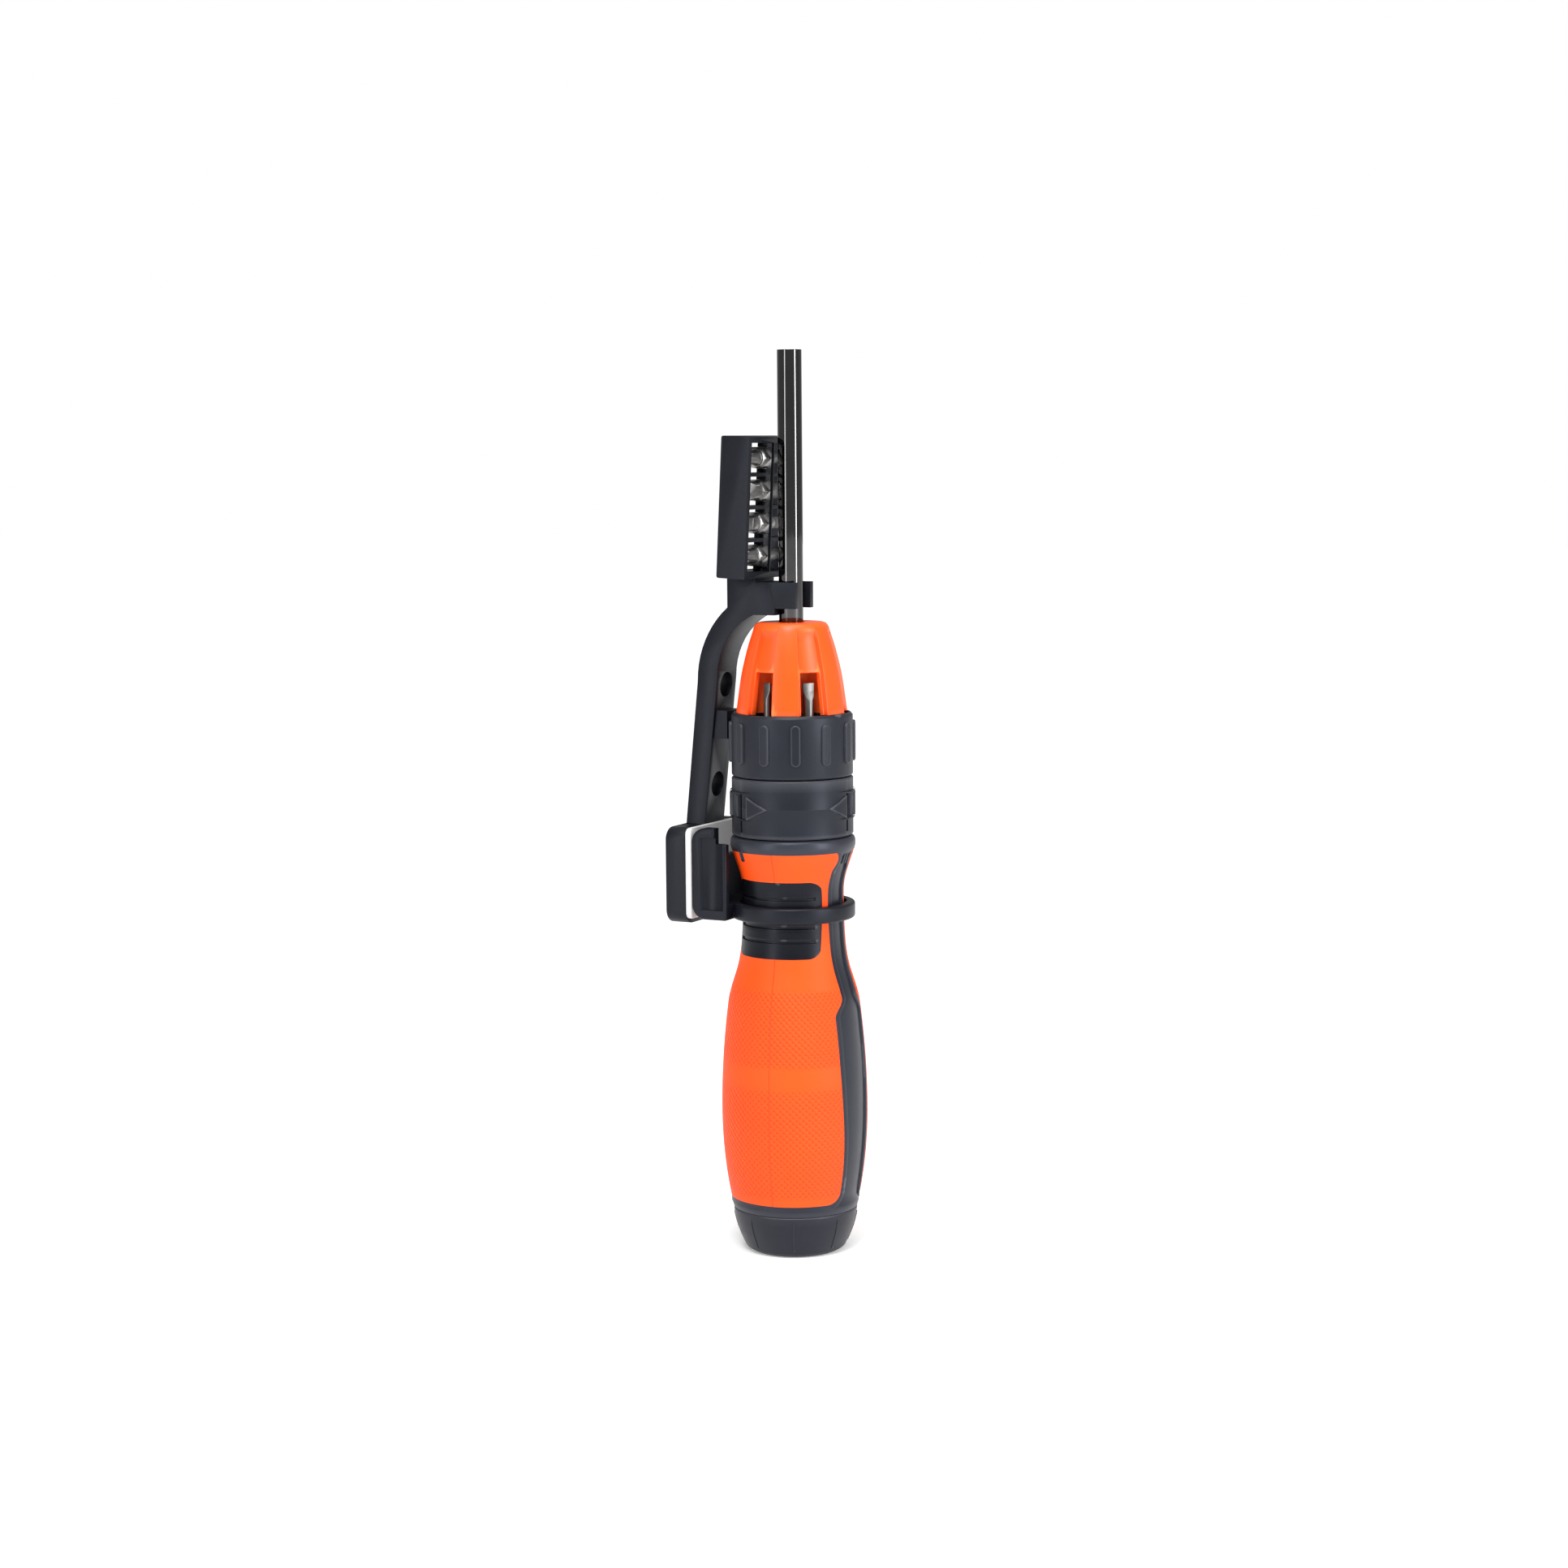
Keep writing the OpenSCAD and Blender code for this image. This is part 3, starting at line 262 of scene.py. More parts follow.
def soft_grip():
    f = Finish("orange_grip")
    x, y, z = (f.add("ShaderNodeSeparateXYZ", None, {"Vector": f.place()}, axis) for axis in "XYZ")
    around = x.math("ARCTAN2", y, x) * BELLY_R
    height = z * (1 / MM)
    step = pi / DIAMOND_PITCH
    field = 0.0
    for low, high in DIAMOND_FIELDS:
        rise = ((height - low) * FIELD_FADE).clamped()
        field = rise * ((high - height) * FIELD_FADE).clamped() + field
    diamonds = field * ((around * step).sine() * (height * step).sine())
    seam = (1.0 - (x + y * SEAM_TURN).size() * SEAM_SHARP).clamped()
    slow = f.noise(RUBBER_DRIFT_SCALE, 3.0)
    fine = f.noise(RUBBER_GRAIN_SCALE, 2.0)
    tone = f.blend(stretched(slow), solid(GRIP_DEEP), solid(GRIP_LIGHT))
    # painted shade: the valleys between the diamonds are blended towards a darker orange
    tone = f.blend((diamonds * -VALLEY_SHADE_SHARE).clamped(), tone, solid(VALLEY_SHADE_COLOUR))
    tone = f.blend(seam * SEAM_SHARE, tone, solid(SEAM_COLOUR))
    relief = diamonds * DIAMOND_RELIEF + fine * GRAIN_RELIEF - seam * SEAM_RELIEF
    skin = f.bump(relief, RELIEF_STRENGTH, DIAMOND_HEIGHT)
    rough = RUBBER_GLOSS + GLOSS_DRIFT * slow + GLOSS_GRAIN * fine
    return f.wear(Base_Color=tone, Roughness=rough, Normal=skin, Specular_IOR_Level=RUBBER_SHINE)


orange_grip = soft_grip()
print("grip diamonds every", DIAMOND_PITCH, "mm")

# %% [markdown]
# ## Metals
# The shaft is plated in dark chrome and polished along its length, so it mirrors the room in two bright
# stripes. The bits are blasted steel with turned marks, and the hidden ratchet is ground steel. The bits
# stored in the nose get the same steel much darker, which is painted shade for their pockets. All are
# one metal shader with different streaks: noise that is stretched along the piece gives the drawn look,
# and even noise the blasted one.

# %% Metal finishes
STREAK_SCALE, SPOT_SCALE = 900.0, 260.0
STREAK_SHARE, SPOT_SHARE = 0.7, 0.3
STREAK_HEIGHT = 0.02 * MM
SPOT_DARK = 0.72
EVEN, ALONG_SHAFT, ACROSS = (1.0, 1.0, 1.0), (1.0, 1.0, 0.03), (0.15, 1.0, 1.0)


def metal(name, colour, gloss, stretch, grain):
    f = Finish(name)
    drawn = f.add("ShaderNodeMapping", None, {"Vector": f.place(), "Scale": stretch})
    streaks = f.noise(STREAK_SCALE, 4.0, drawn)
    spots = f.noise(SPOT_SCALE, 3.0)
    tone = f.blend(spots, solid(colour, SPOT_DARK), solid(colour))
    rough = gloss[0] + (gloss[1] - gloss[0]) * (STREAK_SHARE * streaks + SPOT_SHARE * spots)
    skin = f.bump(streaks, grain, STREAK_HEIGHT)
    return f.wear(Base_Color=tone, Metallic=1.0, Roughness=rough, Normal=skin)


dark_chrome = metal("dark_chrome", (0.085, 0.082, 0.082), gloss=(0.05, 0.10), stretch=ALONG_SHAFT,
                    grain=0.012)
steel = metal("ground_steel", (0.46, 0.47, 0.49), gloss=(0.22, 0.40), stretch=ACROSS, grain=0.2)
bit_steel = metal("bit_steel", (0.40, 0.39, 0.385), gloss=(0.28, 0.46), stretch=EVEN, grain=0.3)
# the same bit steel painted darker: painted shade for the bits inside the nose
bit_steel_painted_shade = metal("bit_steel_painted_shade", (0.13, 0.127, 0.124), gloss=(0.26, 0.42), stretch=EVEN, grain=0.3)
bronze = metal("bronze", (0.50, 0.31, 0.13), gloss=(0.25, 0.45), stretch=EVEN, grain=0.2)
print("metals:", [m.name for m in (dark_chrome, steel, bit_steel, bit_steel_painted_shade, bronze)])

# %% [markdown]
# ## From a mesh to a piece
# Every piece ends the same way: the mesh is scaled to metres, gets smooth shading that breaks at sharp
# edges, stands for its solids and rides on their body. One function does it, so that no piece forgets a
# step.

# %% Finishing a piece
BODY_OF = {}
for body, nodes in frame["record"]["behaviour"]["bodies"].items():
    BODY_OF.update((node, body) for node in nodes)
SHARP_ANGLE = 34.0


def finish_piece(bm, name, material, node):
    bmesh.ops.scale(bm, vec=(MM, MM, MM), verts=bm.verts)
    mesh = bpy.data.meshes.new(name)
    bm.to_mesh(mesh)
    bm.free()
    mesh.shade_smooth()
    mesh.set_sharp_from_angle(angle=radians(SHARP_ANGLE))
    mesh.materials.append(material)
    piece = bpy.data.objects.new(name, mesh)
    bpy.context.scene.collection.objects.link(piece)
    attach(piece, BODY_OF[node])
    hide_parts(node)
    print(name, len(mesh.polygons), "faces")


print("nodes with a body:", len(BODY_OF))

# %% [markdown]
# ## Rounding, cutting and joining
# No moulded or machined edge is perfectly sharp, so nearly every piece gets its edges bevelled. The
# bevel's settings are always the same and only width and steps change. Pieces made of several forms are
# joined without welding, as a mould's inserts are. Cuts across a form give it the extra edges that it
# needs to bend.

# %% Small helpers for every mesh
def round_edges(bm, edges, width, segments, clamp=False):
    bmesh.ops.bevel(bm, geom=edges, offset=width, offset_type="OFFSET", affect="EDGES", segments=segments,
                    profile=0.5, material=-1, clamp_overlap=clamp)


def sharp_edges(bm, angle):
    return [e for e in bm.edges if len(e.link_faces) == 2 and e.calc_face_angle(0.0) > radians(angle)]


def soften(bm, width, angle, segments=2):
    round_edges(bm, sharp_edges(bm, angle), width, segments, clamp=True)


def cut_across(bm, place, normal):
    everything = bm.verts[:] + bm.edges[:] + bm.faces[:]
    bmesh.ops.bisect_plane(bm, geom=everything, plane_co=place, plane_no=normal)


def turned(angle):
    return Matrix.Rotation(radians(angle), 4, "Z")


def join(bm, other, angle=0.0):
    bmesh.ops.transform(other, matrix=turned(angle), verts=other.verts)
    spare = bpy.data.meshes.new("spare")
    other.to_mesh(spare)
    other.free()
    bm.from_mesh(spare)
    bpy.data.meshes.remove(spare)


def face_outwards(bm):
    bmesh.ops.recalc_face_normals(bm, faces=bm.faces)
    if sum(f.normal.dot(f.calc_center_median() * Vector((1, 1, 0))) for f in bm.faces) < 0:
        bmesh.ops.reverse_faces(bm, faces=bm.faces)


def spread(low, high, pitch):
    count = max(1, round((high - low) / pitch))
    return [low + (high - low) * i / count for i in range(count + 1)]


print("edges past", SHARP_ANGLE, "degrees are shaded sharp")

# %% [markdown]
# ## Turned forms
# Cap, core, rings and hub are bodies of revolution. A cylinder with many cuts would need its rings
# scaled one by one, so a half outline is drawn instead, as on a lathe, and spun round the axis. Corners
# are rounded afterwards.

# %% Spinning an outline
ROUND_STEPS = 120
WELD = 0.001


def lathe(outline, closed=False, steps=ROUND_STEPS):
    bm = bmesh.new()
    verts = [bm.verts.new((r, 0.0, z)) for r, z in outline]
    ends = verts[1:] + (verts[:1] if closed else [])
    edges = [bm.edges.new(pair) for pair in zip(verts, ends)]
    bmesh.ops.spin(bm, geom=verts + edges, cent=(0, 0, 0), axis=(0, 0, 1), angle=2 * pi, steps=steps,
                   use_merge=True)
    bmesh.ops.remove_doubles(bm, verts=bm.verts, dist=WELD)
    bmesh.ops.recalc_face_normals(bm, faces=bm.faces)
    return bm


print("a full turn has", ROUND_STEPS, "steps")

# %% [markdown]
# ## Raised bars
# Ribs, ridges and thumb bars are the same form at different sizes: a bar with round ends that stands
# out of a wall. A cube is scaled, its upright edges are bevelled into round ends, and its outer rim is
# softened. An inset face keeps the rim narrow, which gets the paler painted highlight. A laid bar is cut
# across and follows a wall that isn't straight.

# %% One raised bar, standing out along X
NEAR = 0.001
END_STEPS, RIM_STEPS = 6, 3
INSET_SHARE = 0.12
LAID_ROOT = -0.6
LAID_CUTS = 8
LAID_CORNER_SHARE = 0.4
LAID_RIM = 0.1


def front_edges(bm, outer):
    return [e for e in bm.edges if all(v.co.x > outer - NEAR for v in e.verts)]


def inset_front(bm, outer, thickness):
    front = [f for f in bm.faces if all(v.co.x > outer - NEAR for v in f.verts)]
    bmesh.ops.inset_individual(bm, faces=front, thickness=thickness, use_even_offset=True)


def raised_bar(inner, outer, width, low, high, corner, rim):
    bm = bmesh.new()
    bmesh.ops.create_cube(bm, size=1.0)
    bmesh.ops.scale(bm, vec=(outer - inner, width, high - low), verts=bm.verts)
    bmesh.ops.translate(bm, vec=((inner + outer) / 2, 0, (low + high) / 2), verts=bm.verts)
    outward = [e for e in bm.edges if abs(e.verts[0].co.x - e.verts[1].co.x) > 0.5 * (outer - inner)]
    round_edges(bm, outward, corner, END_STEPS)
    round_edges(bm, front_edges(bm, outer), rim, RIM_STEPS)
    inset_front(bm, outer, INSET_SHARE * width)
    return bm


def laid_bar(radius_at, proud, width, low, high):
    bar = raised_bar(LAID_ROOT, proud, width, low, high, LAID_CORNER_SHARE * width, LAID_RIM)
    for cut in spread(low, high, (high - low) / LAID_CUTS)[1:-1]:
        cut_across(bar, (0, 0, cut), (0, 0, 1))
    for v in bar.verts:
        v.co.x += radius_at(v.co.z)
    return bar


print("a laid bar bends in", LAID_CUTS, "parts")

# %% [markdown]
# ## End cap
# The cap closes the handle's foot. It is a turned shell with a rounded foot edge and eight thin upright
# ridges, which a mould parting leaves. The outline is spun, and the ridges are laid bars that lean with
# the wall.

# %% End cap
CAP_LINE = ((0.0, 0.0), (13.5, 0.0), (15.3, 1.1), (16.5, 3.6), (17.8, 7.0), (18.6, 10.05), (19.1, 13.2),
            (18.7, 13.4), (0.0, 13.4))
CAP_RIDGES = 8
RIDGE_TURN = -65.0
RIDGE_PROUD, RIDGE_W = 0.22, 0.5
RIDGE_LOW, RIDGE_HIGH = 2.2, 11.4


def cap_radius(z):
    for (r0, z0), (r1, z1) in zip(CAP_LINE[1:], CAP_LINE[2:]):
        if z0 <= z <= z1:
            return r0 + (r1 - r0) * (z - z0) / (z1 - z0)


cap = lathe(CAP_LINE)
soften(cap, width=0.5, angle=30.0, segments=3)
for k in range(CAP_RIDGES):
    ridge = laid_bar(cap_radius, RIDGE_PROUD, RIDGE_W, RIDGE_LOW, RIDGE_HIGH)
    join(cap, ridge, RIDGE_TURN + 360 / CAP_RIDGES * k)
finish_piece(cap, "end_cap_shell", black_plastic, "end_cap")

# %% [markdown]
# ## Handle outline
# Seen from the side the handle swells, narrows to a neck and flares to a bead. A few stations with a
# height, a radius and a slope give that line, and a cubic runs smoothly from each to the next. Core,
# frame, grips and inserts all read it.

# %% Radius of the handle at any height
GRIP_FOOT, GRIP_TOP = 17.0, 124.6
STATIONS = ((0.0, 19.8, 0.20), (27.0, 22.4, 0.0), (60.0, 20.2, -0.13), (69.3, 17.7, -0.32),
            (80.5, 15.8, -0.06), (95.0, 15.45, 0.03), (107.6, 18.8, 0.30))


def handle_radius(z):
    s = min(max(z - GRIP_FOOT, 0.0), GRIP_TOP - GRIP_FOOT)
    for (s0, r0, m0), (s1, r1, m1) in zip(STATIONS, STATIONS[1:]):
        if s <= s1:
            t = (s - s0) / (s1 - s0)
            h = s1 - s0
            return ((2 * t**3 - 3 * t**2 + 1) * r0 + (t**3 - 2 * t**2 + t) * h * m0
                    + (3 * t**2 - 2 * t**3) * r1 + (t**3 - t**2) * h * m1)


print("belly", round(2 * handle_radius(44), 1), "mm, neck", round(2 * handle_radius(108), 1), "mm")

# %% [markdown]
# ## Sheets on the handle
# Frames, grips and inserts are all thin skins that are wrapped round the handle. A flat grid is bent
# onto the outline row by row, and its side edges follow a line of their own. Then it gets a thickness
# and soft edges. Cutting such skins out of a turned body would leave ragged edges.

# %% Sheets wrapped on the handle
RIM_ANGLE = 50.0


def wrapped_sheet(rows, edge_angle, surface, columns):
    bm = bmesh.new()
    bmesh.ops.create_grid(bm, x_segments=columns, y_segments=len(rows) - 1, size=0.5)
    for v in bm.verts:
        z = rows[round((v.co.y + 0.5) * (len(rows) - 1))]
        edge = edge_angle(z)
        angle = -pi + edge + (v.co.x + 0.5) * (pi - 2 * edge)
        r = surface(z, angle)
        v.co = (r * cos(angle), r * sin(angle), z)
    face_outwards(bm)
    return bm


def thicken(bm, thick, edge):
    bmesh.ops.solidify(bm, geom=bm.faces[:], thickness=thick)
    bmesh.ops.recalc_face_normals(bm, faces=bm.faces)
    soften(bm, edge, RIM_ANGLE)


print("rims past", RIM_ANGLE, "degrees are softened")

# %% [markdown]
# ## Outline of grip and frame
# The two grips leave a gap in which the spine shows. It is wide along the belly and narrow at the neck,
# and the grip's corners are round. A frame is the same outline, grown by its width. The rows of a sheet
# are close together in the corners, so that the arcs stay smooth.

# %% Half the gap between the grips
FOOT_CORNER, TOP_CORNER = 3.6, 3.0
ROW_PITCH = 0.8
CORNER_STEP = 9
GAP_LINE = ((20.0, 7.4), (62.0, 8.9), (74.2, 8.9), (80.2, 5.2), (118.2, 5.4), (121.6, 4.2), (130.0, 4.2))


def corner_cut(radius, reach):
    return radius - sqrt(max(0.0, radius**2 - reach**2))


def half_gap(z, grow=0.0):
    gap = GAP_LINE[0][1] - grow
    for (z0, g0), (z1, g1) in zip(GAP_LINE, GAP_LINE[1:]):
        t = min(1.0, max(0.0, (z - z0) / (z1 - z0)))
        gap += (g1 - g0) * t * t * (3 - 2 * t)
    gap += corner_cut(FOOT_CORNER + grow, max(0.0, GRIP_FOOT + FOOT_CORNER - z))
    gap += corner_cut(TOP_CORNER + grow, max(0.0, z - GRIP_TOP + TOP_CORNER))
    return gap


def sheet_rows(grow=0.0):
    low = FOOT_CORNER + grow
    high = TOP_CORNER + grow
    foot = [GRIP_FOOT + FOOT_CORNER - low * cos(radians(a)) for a in range(0, 90, CORNER_STEP)]
    top = [GRIP_TOP - TOP_CORNER + high * sin(radians(a)) for a in range(CORNER_STEP, 91, CORNER_STEP)]
    return foot + spread(GRIP_FOOT + FOOT_CORNER, GRIP_TOP - TOP_CORNER, ROW_PITCH) + top


print("gap at the belly", round(2 * half_gap(44), 1), "mm, at the neck", round(2 * half_gap(100), 1), "mm")

# %% [markdown]
# ## Core of the handle
# Between the grips the dark core shows as two spines, sunk a little below a raised frame that runs
# round each grip. The sunk field is one turned body. Each frame is a wrapped sheet, a little larger
# than its grip, and it dips under the neck insert to leave room for the grooves there. Short index bars
# under the bead show the drive settings.

# %% Core with its frames and index bars
SPINE_SINK, FRAME_SINK, INSERT_SINK = 0.82, 0.1, 1.1
SINK_FROM, SINK_RUN = 15.0, 2.5
CORE_LOW, CORE_HIGH, CORE_PITCH = 16.0, 122.0, 1.5
FRAME_W, FRAME_THICK, FRAME_EDGE = 1.8, 1.5, 0.42
FRAME_COLUMNS = 48
INSERT_HALF_W = 13.5
INSERT_LOW, INSERT_HIGH = 92.3, 115.6
INSERT_LAP = 0.8
INDEX_TURN = -120.0
SPINE_BARS = (-2.6, 2.6)


def frame_edge(z):
    return asin(half_gap(z, FRAME_W) / handle_radius(z))


def frame_surface(z, angle):
    r = handle_radius(z)
    in_width = abs(r * cos(angle)) < INSERT_HALF_W - INSERT_LAP
    under_insert = in_width and INSERT_LOW + INSERT_LAP < z < INSERT_HIGH - INSERT_LAP
    return r - (INSERT_SINK if under_insert else FRAME_SINK)


def spine_radius(z):
    return handle_radius(z) - SPINE_SINK * min(1.0, (z - SINK_FROM) / SINK_RUN)


core_line = [(0.0, 13.4), (18.7, 13.4), (19.1, 13.6), (19.5, SINK_FROM)]
core_line += [(spine_radius(z), z) for z in spread(CORE_LOW, CORE_HIGH, CORE_PITCH)]
core_line += [(18.1, 123.4), (18.8, 124.4), (19.1, 125.6), (19.1, 127.0), (18.75, 128.0), (17.9, 128.5)]
core = lathe(core_line + [(0.0, 128.5)])
soften(core, width=0.25, angle=40.0)
for half_turn in (0, 180):
    rim = wrapped_sheet(sheet_rows(FRAME_W), frame_edge, frame_surface, FRAME_COLUMNS)
    thicken(rim, FRAME_THICK, FRAME_EDGE)
    join(core, rim, half_turn)
    index_bar = laid_bar(handle_radius, proud=0.3, width=1.7, low=121.4, high=125.4)
    join(core, index_bar, half_turn + INDEX_TURN)
    for side in SPINE_BARS:
        spine_bar = laid_bar(handle_radius, proud=-0.15, width=0.7, low=120.4, high=124.8)
        join(core, spine_bar, half_turn + side)
finish_piece(core, "handle_core_spines", dark_plastic, "handle_core")

# %% [markdown]
# ## Grips
# Each grip is moulded over its frame and ends in a soft round edge. It is the same wrapped sheet, at
# full size, with an opening in the neck where the ribbed insert sits.

# %% Grips
GRIP_THICK, GRIP_EDGE = 1.2, 0.22
GRIP_COLUMNS = 64
OPENING_LAP_W, OPENING_LAP_H = 0.5, 1.0


def grip_edge(z):
    return asin(half_gap(z) / handle_radius(z))


def grip_surface(z, angle):
    return handle_radius(z)


def in_opening(place):
    in_height = INSERT_LOW + OPENING_LAP_H < place.z < INSERT_HIGH - OPENING_LAP_H
    return in_height and abs(place.x) < INSERT_HALF_W - OPENING_LAP_W


for name, half_turn in (("grip_left", 0), ("grip_right", 180)):
    grip = wrapped_sheet(sheet_rows(), grip_edge, grip_surface, GRIP_COLUMNS)
    opening = [f for f in grip.faces if in_opening(f.calc_center_median())]
    bmesh.ops.delete(grip, geom=opening, context="FACES")
    thicken(grip, GRIP_THICK, GRIP_EDGE)
    bmesh.ops.transform(grip, matrix=turned(half_turn), verts=grip.verts)
    finish_piece(grip, name + "_skin", orange_grip, name)

# %% [markdown]
# ## Ribbed inserts
# In the neck of each grip sits a black insert where thumb and finger turn the driver. It has rounded
# corners and four cross grooves that stop short of its ends. The wrapped sheet makes it again, and its
# surface dips at the grooves. Two close rows on each side of a groove make its walls steep.

# %% Inserts
INSERT_CORNER = 2.5
INSERT_PROUD = 0.04
INSERT_THICK, INSERT_EDGE = 1.0, 0.12
INSERT_COLUMNS = 60
GROOVES, GROOVE_PITCH = 4, 4.3
GROOVE_HALF, GROOVE_DEEP, GROOVE_STOP = 0.45, 0.5, 1.2
GROOVE_WALL = 0.06
ROW_CLEAR, INSERT_PITCH = 0.3, 0.9
INSERT_CORNER_STEP = 10
insert_middle = (INSERT_LOW + INSERT_HIGH) / 2
groove_heights = [insert_middle + (i - (GROOVES - 1) / 2) * GROOVE_PITCH for i in range(GROOVES)]


def insert_edge(z):
    from_end = min(z - INSERT_LOW, INSERT_HIGH - z)
    half_width = INSERT_HALF_W - corner_cut(INSERT_CORNER, max(0.0, INSERT_CORNER - from_end))
    return acos(half_width / handle_radius(z))


def insert_surface(z, angle):
    r = handle_radius(z) + INSERT_PROUD
    inside = abs(r * cos(angle)) < INSERT_HALF_W - GROOVE_STOP
    if inside and any(abs(z - g) < GROOVE_HALF for g in groove_heights):
        r -= GROOVE_DEEP
    return r


corner_rows = [INSERT_CORNER * (1 - cos(radians(a))) for a in range(0, 90, INSERT_CORNER_STEP)]
insert_rows = [INSERT_LOW + c for c in corner_rows] + [INSERT_HIGH - c for c in corner_rows]
for z in spread(INSERT_LOW + INSERT_CORNER, INSERT_HIGH - INSERT_CORNER, INSERT_PITCH):
    if all(abs(abs(z - g) - GROOVE_HALF) > ROW_CLEAR for g in groove_heights):
        insert_rows.append(z)
for g in groove_heights:
    for reach in (GROOVE_HALF - GROOVE_WALL, GROOVE_HALF + GROOVE_WALL):
        insert_rows += [g - reach, g + reach]
insert_rows.sort()
for name, half_turn in (("insert_left", 0), ("insert_right", 180)):
    insert = wrapped_sheet(insert_rows, insert_edge, insert_surface, INSERT_COLUMNS)
    thicken(insert, INSERT_THICK, INSERT_EDGE)
    bmesh.ops.transform(insert, matrix=turned(half_turn), verts=insert.verts)
    finish_piece(insert, name + "_ribs", insert_plastic, name)

# %% [markdown]
# ## Selector ring
# Turning this ring swaps the drive direction. It carries raised arrows, thumb bars and index grooves,
# and a fine parting line runs through the arrow tips. The ring is spun in steps of one and a half
# degrees, so that the grooves are whole faces of it that can be pushed in.

# %% Selector ring with its grooves
SELECTOR_R, SELECTOR_BORE, SELECTOR_CHAMFER = 18.5, 15.0, 0.4
SELECTOR_LOW, SELECTOR_HIGH = 128.8, 146.5
SELECTOR_STEPS = 240
ARROW_Z = 137.8
PARTING_PROUD, PARTING_HALF = 0.05, 0.13
INDEX_MARKS = (-120, 0, 60, 180)
MARK_LOW, MARK_HIGH = 130.4, 142.3
MARK_HALF_TURN = 1.5
MARK_SINK = 0.973
ring_line = ((SELECTOR_BORE, SELECTOR_LOW), (SELECTOR_R - SELECTOR_CHAMFER, SELECTOR_LOW),
             (SELECTOR_R, SELECTOR_LOW + SELECTOR_CHAMFER), (SELECTOR_R, MARK_LOW),
             (SELECTOR_R, ARROW_Z - PARTING_HALF), (SELECTOR_R + PARTING_PROUD, ARROW_Z),
             (SELECTOR_R, ARROW_Z + PARTING_HALF), (SELECTOR_R, MARK_HIGH),
             (SELECTOR_R, SELECTOR_HIGH - SELECTOR_CHAMFER), (SELECTOR_R - SELECTOR_CHAMFER, SELECTOR_HIGH),
             (SELECTOR_BORE, SELECTOR_HIGH))
selector = lathe(ring_line, closed=True, steps=SELECTOR_STEPS)


def in_mark(place):
    on_wall = place.x > SELECTOR_R - SELECTOR_CHAMFER and MARK_LOW < place.z < MARK_HIGH
    return on_wall and abs(degrees(atan2(place.y, place.x))) < MARK_HALF_TURN


def raise_faces(bm, faces):
    raised = bmesh.ops.extrude_face_region(bm, geom=faces)
    return [v for v in raised["geom"] if isinstance(v, bmesh.types.BMVert)]


for mark in INDEX_MARKS:
    strip = [f for f in selector.faces if in_mark(turned(-mark) @ f.calc_center_median())]
    pushed = raise_faces(selector, strip)
    bmesh.ops.delete(selector, geom=strip, context="FACES")
    bmesh.ops.scale(selector, vec=(MARK_SINK, MARK_SINK, 1.0), verts=pushed)
print("selector ring", len(selector.faces), "faces with", len(INDEX_MARKS), "grooves")

# %% [markdown]
# ## Arrows and thumb bars
# Two arrows on each side show which way the ring turns, and beside them bars give the thumb a hold.
# Both are made flat, where they are easy to bevel, and are then bent round the ring. A flat form bends
# only at its edges, so it is cut across a few times first.

# %% Arrows and thumb bars on the ring
ARROWS = ((-111.0, -87.5), (-3.0, -27.0))
ARROW_HALF_H = 3.5
ARROW_IN, ARROW_OUT = 18.0, 19.1
ARROW_RIM, ARROW_INSET = 0.3, 0.35
ARROW_CUTS = (0.25, 0.5, 0.75)
THUMB_TURN, THUMB_GAP = 30.0, 1.0
THUMB_BARS = ((0, 24), (-22, 8), (22, 8))
THUMB_IN, THUMB_OUT = 17.6, 19.15
THUMB_LOW, THUMB_HIGH = 134.5, 142.1
THUMB_CORNER, THUMB_RIM = 1.2, 0.45
THUMB_CUTS = (-0.3, -0.1, 0.1, 0.3)


def bent(bm, radius):
    for v in bm.verts:
        angle = v.co.y / radius
        v.co = (v.co.x * cos(angle), v.co.x * sin(angle), v.co.z)
    return bm


def arrow(base, tip):
    bm = bmesh.new()
    corners = [bm.verts.new((ARROW_IN, radians(turn) * SELECTOR_R, ARROW_Z + rise))
               for turn, rise in ((base, -ARROW_HALF_H), (tip, 0.0), (base, ARROW_HALF_H))]
    raised = raise_faces(bm, [bm.faces.new(corners)])
    bmesh.ops.translate(bm, vec=(ARROW_OUT - ARROW_IN, 0, 0), verts=raised)
    bmesh.ops.recalc_face_normals(bm, faces=bm.faces)
    round_edges(bm, front_edges(bm, ARROW_OUT), ARROW_RIM, segments=2)
    inset_front(bm, ARROW_OUT, ARROW_INSET)
    for share in ARROW_CUTS:
        cut_across(bm, (0, radians(base + (tip - base) * share) * SELECTOR_R, 0), (0, 1, 0))
    return bent(bm, SELECTOR_R)


def thumb_bar(turn):
    bar = raised_bar(THUMB_IN, THUMB_OUT, radians(turn - THUMB_GAP) * SELECTOR_R, THUMB_LOW, THUMB_HIGH,
                     THUMB_CORNER, THUMB_RIM)
    for share in THUMB_CUTS:
        cut_across(bar, (0, share * radians(turn) * SELECTOR_R, 0), (0, 1, 0))
    return bent(bar, SELECTOR_R)


for half_turn in (0, 180):
    for base, tip in ARROWS:
        join(selector, arrow(base, tip), half_turn)
    for middle, turn in THUMB_BARS:
        join(selector, thumb_bar(turn), THUMB_TURN + middle + half_turn)
finish_piece(selector, "selector_ring_marked", collar_plastic, "selector_ring")

# %% [markdown]
# ## Ribbed collar
# The collar holds the magazine on the shaft and gives the fingers twelve ribs. It is spun, with a
# chamfer under the nose and a faint step where the mould parts, and one rib is repeated round it.

